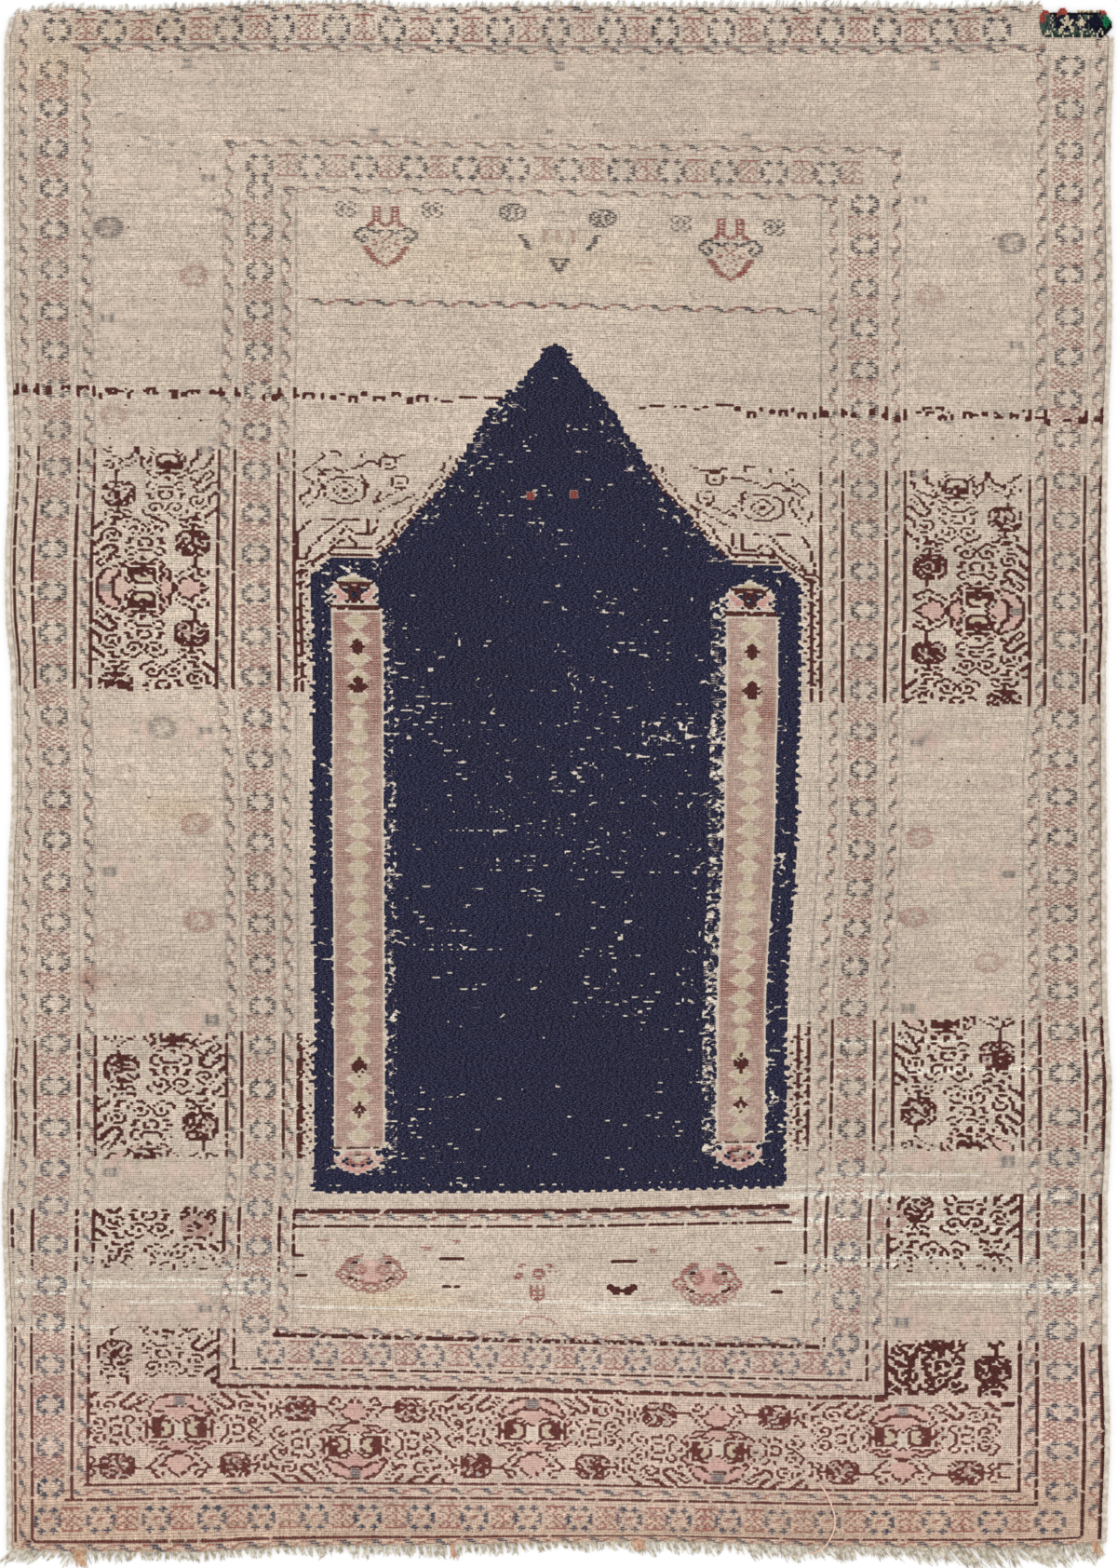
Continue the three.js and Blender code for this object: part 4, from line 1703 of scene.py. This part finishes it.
def make_back(material):
    """The woven ground under the pile: flat below, with the design's back on it."""
    over = np.arange(0, COLUMNS + 1, BACK_STEP)
    down = np.unique(np.r_[np.arange(0, ROWS + 1, BACK_STEP), ROWS])
    x = DESIGN_LEFT + KNOT_WIDE * over
    y = DESIGN_TOP + KNOT_TALL * down
    grid = woven_grid(x, y)
    middle_x, middle_y = np.meshgrid((x[1:] + x[:-1]) / 2, (y[1:] + y[:-1]) / 2)
    left, right, top, bottom = NOTCH
    kept = (middle_x < left) | (middle_x > right) | (middle_y < top) | (middle_y > bottom)
    row, column = np.nonzero(kept)
    corner = row * len(x) + column
    quads = np.stack([corner, corner + 1, corner + len(x) + 1, corner + len(x)], axis=1)
    used, faces = np.unique(quads, return_inverse=True)
    faces = faces.reshape(-1, 4)
    places = grid.reshape(-1, 3)[used]
    loop = outline_of(faces)
    rim_places = places[loop].copy()
    rim_places[:, 2] = BACK_TOP * MM
    first = len(places)
    walls = []
    for k in range(len(loop)):
        after = (k + 1) % len(loop)
        walls.append([int(loop[k]), int(loop[after]), first + after, first + k])
    lid = [first + k for k in range(len(loop))]
    piece = add_piece("woven_back", np.vstack([places, rim_places]).tolist(),
                      faces.tolist() + walls + [lid], material, False)
    point_row, point_column = np.divmod(np.r_[used, used[loop]], len(x))
    add_knots(piece.data, over[point_column].astype(float), down[point_row].astype(float))
    knot_row, knot_column = strongest_near(down[point_row], over[point_column])
    add_layers(piece.data, knot_row, knot_column)
    return piece


def strongest_near(rows, columns):
    """The most strongly dyed of the four knots round each corner."""
    strength = np.maximum(dark_cover, 0.5 * soft_cover)
    best = np.full(len(rows), -1.0)
    best_row = np.zeros(len(rows), int)
    best_column = np.zeros(len(rows), int)
    for down in (-1, 0):
        for over in (-1, 0):
            row = np.clip(rows + down, 0, ROWS - 1)
            column = np.clip(columns + over, 0, COLUMNS - 1)
            better = strength[row, column] > best
            best = np.where(better, strength[row, column], best)
            best_row = np.where(better, row, best_row)
            best_column = np.where(better, column, best_column)
    return best_row, best_column


def outline_of(faces):
    """The corners round the outside of a sheet of quads, in order."""
    edges = np.concatenate([faces[:, [k, (k + 1) % 4]] for k in range(4)])
    forward = {(a, b) for a, b in edges.tolist()}
    after = {a: b for a, b in forward if (b, a) not in forward}
    start = min(after)
    loop = [start]
    while after[loop[-1]] != start:
        loop.append(after[loop[-1]])
    return np.array(loop)


def add_sleeve(faces, first, rings, sides):
    """Faces round rings of points that follow each other, closed at both ends."""
    last = first + (rings - 1) * sides
    for here in range(first, last, sides):
        for side in range(sides):
            after = (side + 1) % sides
            faces.append((here + side, here + after, here + sides + after, here + sides + side))
    faces.append(tuple(range(first, first + sides))[::-1])
    faces.append(tuple(range(last, last + sides)))


# Overcast side cords
CORD_HALF_WIDE = 3.2 * MM
CORD_HALF_TALL = 1.85 * MM
WRAP = 2.6 * MM
WRAP_SLANT = 0.9 * MM
WRAP_PUSH = 0.22 * MM
WRAP_SHAPE = (0.93, 1.0, 0.95)
WRAP_STEPS = len(WRAP_SHAPE)
CORD_SIDES = 10
CORD_OUT = 3.0 * MM


def make_selvedge(name, edge, outwards, material):
    """A side cord wrapped round and round with yarn, so that it is ridged across."""
    low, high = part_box(name)
    source = np.random.default_rng(11 if outwards > 0 else 12)
    count = int((high.y - low.y) / WRAP * WRAP_STEPS)
    along = np.linspace(low.y, high.y, count)
    across = np.interp(along, edge[:, 0], edge[:, 1]) + outwards * CORD_OUT
    wraps = int(count / WRAP_STEPS) + 2
    swell = source.uniform(0.90, 1.03, wraps)
    push = source.normal(0, 1, wraps) * WRAP_PUSH
    places = []
    for k in range(count):
        turn = k // WRAP_STEPS
        thick = swell[turn] * WRAP_SHAPE[k % WRAP_STEPS]
        for side in range(CORD_SIDES):
            angle = 2 * math.pi * side / CORD_SIDES
            out = CORD_HALF_WIDE * thick * math.cos(angle)
            up = CORD_HALF_TALL * (1 + thick * math.sin(angle))
            slant = WRAP_SLANT * math.cos(angle)
            places.append((across[k] + push[turn] + out, along[k] + slant, max(0.0, up)))
    faces = []
    add_sleeve(faces, 0, count, CORD_SIDES)
    piece = add_piece(name + "_wrap", places, faces, material)
    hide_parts(name)
    return piece


def yarn_material(name, colour, other, streak, dark=0.25):
    """Plied yarn: two shades in streaks that run with the strand."""
    material, tree = new_material(name)
    place = tree.nodes.new("ShaderNodeTexCoord").outputs["Object"]
    shade = ramp(tree, noise(tree, place, streak, 3.0), 0.35, 0.65)
    fine = noise(tree, place, streak * 5)
    mixed = blend_colour(tree, shade, tuple(linear(*colour)) + (1,), tuple(linear(*other)) + (1,))
    light = maths(tree, "ADD", 1.0 - dark / 2, times(tree, fine, dark))
    wool(tree, scaled(tree, mixed, light), fine, 0.3 * MM)
    return material


# Loose warp ends: how long they are and how far they lean to the right, by the distance
# across the rug
BOTTOM_ENDS = (
    # across, length, lean
    (0, 12, -0.9),
    (62, 10, -0.6),
    (74, 15, 0.1),
    (84, 9, -0.2),
    (180, 8, 0.2),
    (290, 7, 0.1),
    (350, 10, 0.1),
    (468, 10, 0.2),
    (474, 16, 0.1),
    (480, 11, 0.2),
    (580, 7, 0.3),
    (650, 8, 0.3),
    (670, 14, 0.5),
    (690, 10, 0.3),
    (790, 13, 0.5),
    (930, 12, 0.7),
    (1030, 18, 0.8),
    (1090, 15, 0.7),
    (1172, 17, 0.3),
)
TOP_ENDS = (
    (0, 5, 0.3),
    (400, 5, 0.2),
    (700, 6, 0.1),
    (900, 7, 0.3),
    (1104, 5, 0.5),
)
ROOTED = 1.2


def add_tube(places, faces, route, radii, sides):
    """A thin tube through some places, closed at both ends."""
    first = len(places)
    for k, (point, radius) in enumerate(zip(route, radii)):
        before = route[max(0, k - 1)]
        beyond = route[min(len(route) - 1, k + 1)]
        way = np.array(beyond) - np.array(before)
        way /= np.linalg.norm(way) + 1e-9
        side_way = np.cross(way, (0, 0, 1))
        length = np.linalg.norm(side_way)
        side_way = side_way / length if length > 1e-6 else np.array((1.0, 0, 0))
        up_way = np.cross(side_way, way)
        for side in range(sides):
            angle = 2 * math.pi * side / sides
            place = np.array(point) + radius * (side_way * math.cos(angle) + up_way * math.sin(angle))
            places.append((place[0], place[1], max(0.0, place[2])))
    add_sleeve(faces, first, len(route), sides)


# Stained tufts in the lower fringe
TUFTS = (
    # across, width, length, lean
    (70, 11, 19, 0.2),
    (473, 4, 19, 0.1),
    (671, 12, 13, 0.4),
    (1163, 6, 16, 0.3),
)
LOCK = 8.5
GATHER = 0.75
FRINGE_SIDES = 4
# Along a loose end: how far along, and how thick it is there
END_SHAPE = ((0.0, 1.0), (0.3, 1.0), (0.6, 0.9), (0.85, 0.7), (1.0, 0.35))


def loose_end(x, root, length, lean, bend, lift, radius):
    """One strand from the rug's edge outwards, settling on the floor. Lengths in metres."""
    route = []
    for share, _ in END_SHAPE:
        sideways = length * share * (lean + bend * share)
        route.append((x + sideways, root + length * share, lift * (1 - share) ** 0.5 + radius))
    return route, [radius * thick for _, thick in END_SHAPE]


def fringe_strands(edge, outwards, ends, count, seed, x_to, radius):
    """Loose ends along one end of the rug, in locks that lean and end together."""
    source = np.random.default_rng(seed)
    table = np.array(ends, float)
    start = place_x(DESIGN_LEFT) + 1.5 * MM
    stop = place_x(x_to)
    locks = int((stop - start) / (LOCK * MM)) + 3
    lock_lean = source.normal(0, 0.16, locks)
    lock_length = source.uniform(0.85, 1.6, locks)
    routes = []
    for x in np.linspace(start, stop, count) + source.normal(0, 0.4, count) * MM:
        across = (x - place_x(DESIGN_LEFT)) / MM
        lock = int(across / LOCK + source.normal(0, 0.18)) % locks
        from_middle = 0.5 - across / LOCK % 1.0
        length = np.interp(across, table[:, 0], table[:, 1]) * lock_length[lock]
        length *= 1.1 - 0.6 * abs(from_middle)
        length = (max(1.5, length * source.uniform(0.7, 1.05)) + ROOTED) * MM
        lean = np.interp(across, table[:, 0], table[:, 2]) + lock_lean[lock] + source.normal(0, 0.07)
        lean += GATHER * LOCK * MM * from_middle / length
        root = np.interp(x, edge[:, 0], edge[:, 1]) - outwards * ROOTED * MM
        lift = source.uniform(0.5, 1.6) * MM
        bend = outwards * source.normal(0, 0.16)
        routes.append(loose_end(x, root, outwards * length, outwards * lean, bend, lift, radius))
    return routes


def stained_tufts(edge, seed, radius):
    """Close bunches of stained ends, three to each millimetre."""
    source = np.random.default_rng(seed)
    routes = []
    for across, width, length, lean in TUFTS:
        for _ in range(int(3 * width)):
            x = place_x(DESIGN_LEFT + across + width * source.uniform(-0.5, 0.5))
            root = np.interp(x, edge[:, 0], edge[:, 1]) + ROOTED * MM
            reach = (length * source.uniform(0.55, 1.0) + ROOTED) * MM
            lift = source.uniform(1.2, 2.2) * MM
            sway = -lean + source.normal(0, 0.1)
            bend = source.normal(0, 0.1)
            routes.append(loose_end(x, root, -reach, sway, bend, lift, radius))
    return routes


def make_strands(name, routes, material, sides=FRINGE_SIDES):
    """One piece of many thin strands."""
    places = []
    faces = []
    for route, radii in routes:
        add_tube(places, faces, route, radii, sides)
    return add_piece(name, places, faces, material)


# The scrap let into the lost corner, charted row by row from its top edge
PATCH_LETTERS = {
    "n": (30, 31, 50),
    "g": (82, 98, 90),
    "c": (214, 202, 176),
    "o": (178, 152, 104),
    "r": (172, 82, 72),
    "k": (26, 26, 30),
    "v": (34, 124, 82),
    "d": (42, 66, 58),
    "i": (222, 214, 198),
}
PATCH_CHART = """
............rrr...........................
..rrr......rrrrr......o.oo.o.oo..o.rrr....
.rrrrrkkkkrrrrrrkkkkkkkkkkkkkkkkkkkkrrr...
rrrgggncnnrnnnnccnnnnngcngggcggnnnggggv...
rrrrggcngnnnnncccnnnnngncnggcnnnnnngnvvv..
rrrggggcnnnnccnccnccnnncccgnnnnnnnnnvvvvv.
grggdgcngnnnnccccccnnccccccnnnnnnnnnnvvvvv
ggggdgncgnnnnnccccnngnccccnngnnnnnnknvvvkk
gggdgggcnnnncccnncccggncngnngnnnnnkkkkvkkk
.ggggdggcgncccnnnnccggnngccggncnnkkikkkkk.
.dggcgcgdggccggnggccdggccgnggcngnkikikkk..
..dcccgcddgcggcccggggddgcggcgggcgikkikk...
...ddkdcddkddcddkddcdkddcddkddcddikkk.....
"""
PATCH_PITCH = 1.85
PATCH_ROW = 2.4
TUFT_TALL = 3.0
TUFT_HALF = 0.54
# Levels of a tuft: the share of its height, and the share of its width
TUFT_SHAPE = ((0.0, 1.0), (0.6, 1.0), (1.0, 0.4))
PATCH_LEFT = 1117.0
PATCH_TOP = 8.5


def make_patch(material):
    """Knots of another rug's wool, each a small tuft, on a dark backing."""
    lines = PATCH_CHART.split()
    source = np.random.default_rng(29)
    places = []
    faces = []
    colours = []
    for down, line in enumerate(lines):
        for over, letter in enumerate(line):
            if letter == ".":
                continue
            x = PATCH_LEFT + PATCH_PITCH * (over + 0.5) + source.normal(0, 0.2)
            y = PATCH_TOP + PATCH_ROW * (down + 0.5) + source.normal(0, 0.26)
            top = TUFT_TALL + source.uniform(-0.45, 0.4)
            first = len(places)
            for share, scale in TUFT_SHAPE:
                for side_x, side_y in ((-1, 1), (1, 1), (1, -1), (-1, -1)):
                    places.append((
                        place_x(x + side_x * PATCH_PITCH * TUFT_HALF * scale),
                        place_y(y + side_y * PATCH_ROW * TUFT_HALF * scale),
                        top * share * MM,
                    ))
            add_sleeve(faces, first, len(TUFT_SHAPE), 4)
            shade = linear(*PATCH_LETTERS[letter]) * source.uniform(0.75, 1.25)
            colours.extend([shade] * 10)
    piece = add_piece("corner_scrap", places, faces, material, False)
    corners = np.repeat(np.c_[np.array(colours), np.ones(len(colours))], 4, axis=0)
    add_colours(piece.data, "dye", corners, "CORNER")
    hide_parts("corner_patch")
    return piece


def patch_material():
    material, tree = new_material("patch_wool")
    dyed = attribute(tree, "dye")
    place = tree.nodes.new("ShaderNodeTexCoord").outputs["Object"]
    fuzz = noise(tree, place, 900.0, 3.0)
    light = maths(tree, "ADD", 0.72, times(tree, fuzz, 0.56))
    wool(tree, scaled(tree, dyed.outputs["Color"], light), fuzz, 0.4 * MM)
    return material


# A loose thread on the face, by places across and down
THREAD = (
    (881, 1594), (888, 1604), (893, 1616), (897, 1630), (896, 1642),
    (892, 1652), (885, 1662), (876, 1667), (868, 1669),
)
THREAD_HEIGHT = 4.6
THREAD_RADIUS = 0.95 * MM
THREAD_STEPS = 6
THREAD_SIDES = 6


def smooth_route(points, height):
    """A rounded line through places of the layout, lying at that height."""
    points = [points[0]] + list(points) + [points[-1]]
    route = []
    for k in range(1, len(points) - 2):
        before, here, there, beyond = (np.array(point, float) for point in points[k - 1:k + 3])
        square = 2 * before - 5 * here + 4 * there - beyond
        cube = 3 * here - before - 3 * there + beyond
        for step in range(THREAD_STEPS):
            t = step / THREAD_STEPS
            place = 0.5 * (2 * here + (there - before) * t + square * t * t + cube * t ** 3)
            route.append((place_x(place[0]), place_y(place[1]), height * MM))
    return route


pile_wool = knotted_material("pile_wool", 1.0)
back_wool = knotted_material("back_wool", 0.8)
cord_wool = yarn_material("cord_wool", (222, 212, 198), (190, 176, 158), 160.0)
end_wool = yarn_material("end_wool", (238, 229, 211), (178, 164, 142), 240.0, 0.3)
stained_wool = yarn_material("stained_wool", (228, 190, 160), (196, 146, 112), 220.0, 0.3)

back = make_back(back_wool)
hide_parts("rug_cloth")
pile = make_pile(pile_wool)
selvedge_left = make_selvedge("selvedge_left", LEFT_EDGE, -1, cord_wool)
selvedge_right = make_selvedge("selvedge_right", RIGHT_EDGE, 1, cord_wool)

# Loose ends: how many, their seed, how far to the right they go and how thick they are
bottom_routes = fringe_strands(BOTTOM_EDGE, -1, BOTTOM_ENDS, 1150, 31, 1184, 0.55 * MM)
top_routes = fringe_strands(TOP_EDGE, 1, TOP_ENDS, 560, 37, NOTCH[0] - 2, 0.36 * MM)
fringe_bottom = make_strands("bottom_ends", bottom_routes, end_wool)
fringe_top = make_strands("top_ends", top_routes, end_wool)
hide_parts("fringe_bottom")
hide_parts("fringe_top")
stained = make_strands("stained_ends", stained_tufts(BOTTOM_EDGE, 41, 0.5 * MM), stained_wool)
scrap = make_patch(patch_material())
thread_wool = yarn_material("thread_wool", (242, 210, 190), (222, 180, 158), 300.0)
thread_route = smooth_route(THREAD, THREAD_HEIGHT)
thread_radii = [THREAD_RADIUS] * len(thread_route)
thread = make_strands("loose_thread", [(thread_route, thread_radii)], thread_wool, THREAD_SIDES)

# A plain pale floor and soft light from above, a little from the left
FLOOR_HALF = 6.0
FLOOR_TOP = -0.2 * MM
FLOOR_COLOUR = (0.96, 0.965, 0.97, 1)
FLOOR_ROUGHNESS = 0.9
SKY = (1.0, 1.0, 1.0, 1)
SKY_STRENGTH = 1.06
floor_mesh = bpy.data.meshes.new("floor")
floor_corners = [(x * FLOOR_HALF, y * FLOOR_HALF, FLOOR_TOP) for x, y in ((-1, -1), (1, -1), (1, 1), (-1, 1))]
floor_mesh.from_pydata(floor_corners, [], [(0, 1, 2, 3)])
floor = bpy.data.objects.new("floor", floor_mesh)
bpy.context.scene.collection.objects.link(floor)
floor_material, floor_tree = new_material("floor_paper")
floor_shader = floor_tree.nodes.new("ShaderNodeBsdfPrincipled")
floor_shader.inputs["Base Color"].default_value = FLOOR_COLOUR
floor_shader.inputs["Roughness"].default_value = FLOOR_ROUGHNESS
floor_output = floor_tree.nodes.new("ShaderNodeOutputMaterial")
floor_tree.links.new(floor_shader.outputs[0], floor_output.inputs["Surface"])
floor_mesh.materials.append(floor_material)

world = bpy.data.worlds.new("studio")
world.use_nodes = True
sky = world.node_tree.nodes["Background"]
sky.inputs["Color"].default_value = SKY
sky.inputs["Strength"].default_value = SKY_STRENGTH
bpy.context.scene.world = world

LIGHT_PLACE = np.array((-2.6, 2.6, 2.9))
light_data = bpy.data.lights.new("key", "AREA")
light_data.shape = "SQUARE"
light_data.size = 1.6
light_data.energy = 150
light = bpy.data.objects.new("key", light_data)
light.location = LIGHT_PLACE
aim = -LIGHT_PLACE / np.linalg.norm(LIGHT_PLACE)
light.rotation_euler = (math.acos(-aim[2]), 0.0, math.atan2(aim[0], -aim[1]))
bpy.context.scene.collection.objects.link(light)

bpy.context.scene.view_settings.view_transform = "Standard"
bpy.context.scene.view_settings.look = "None"
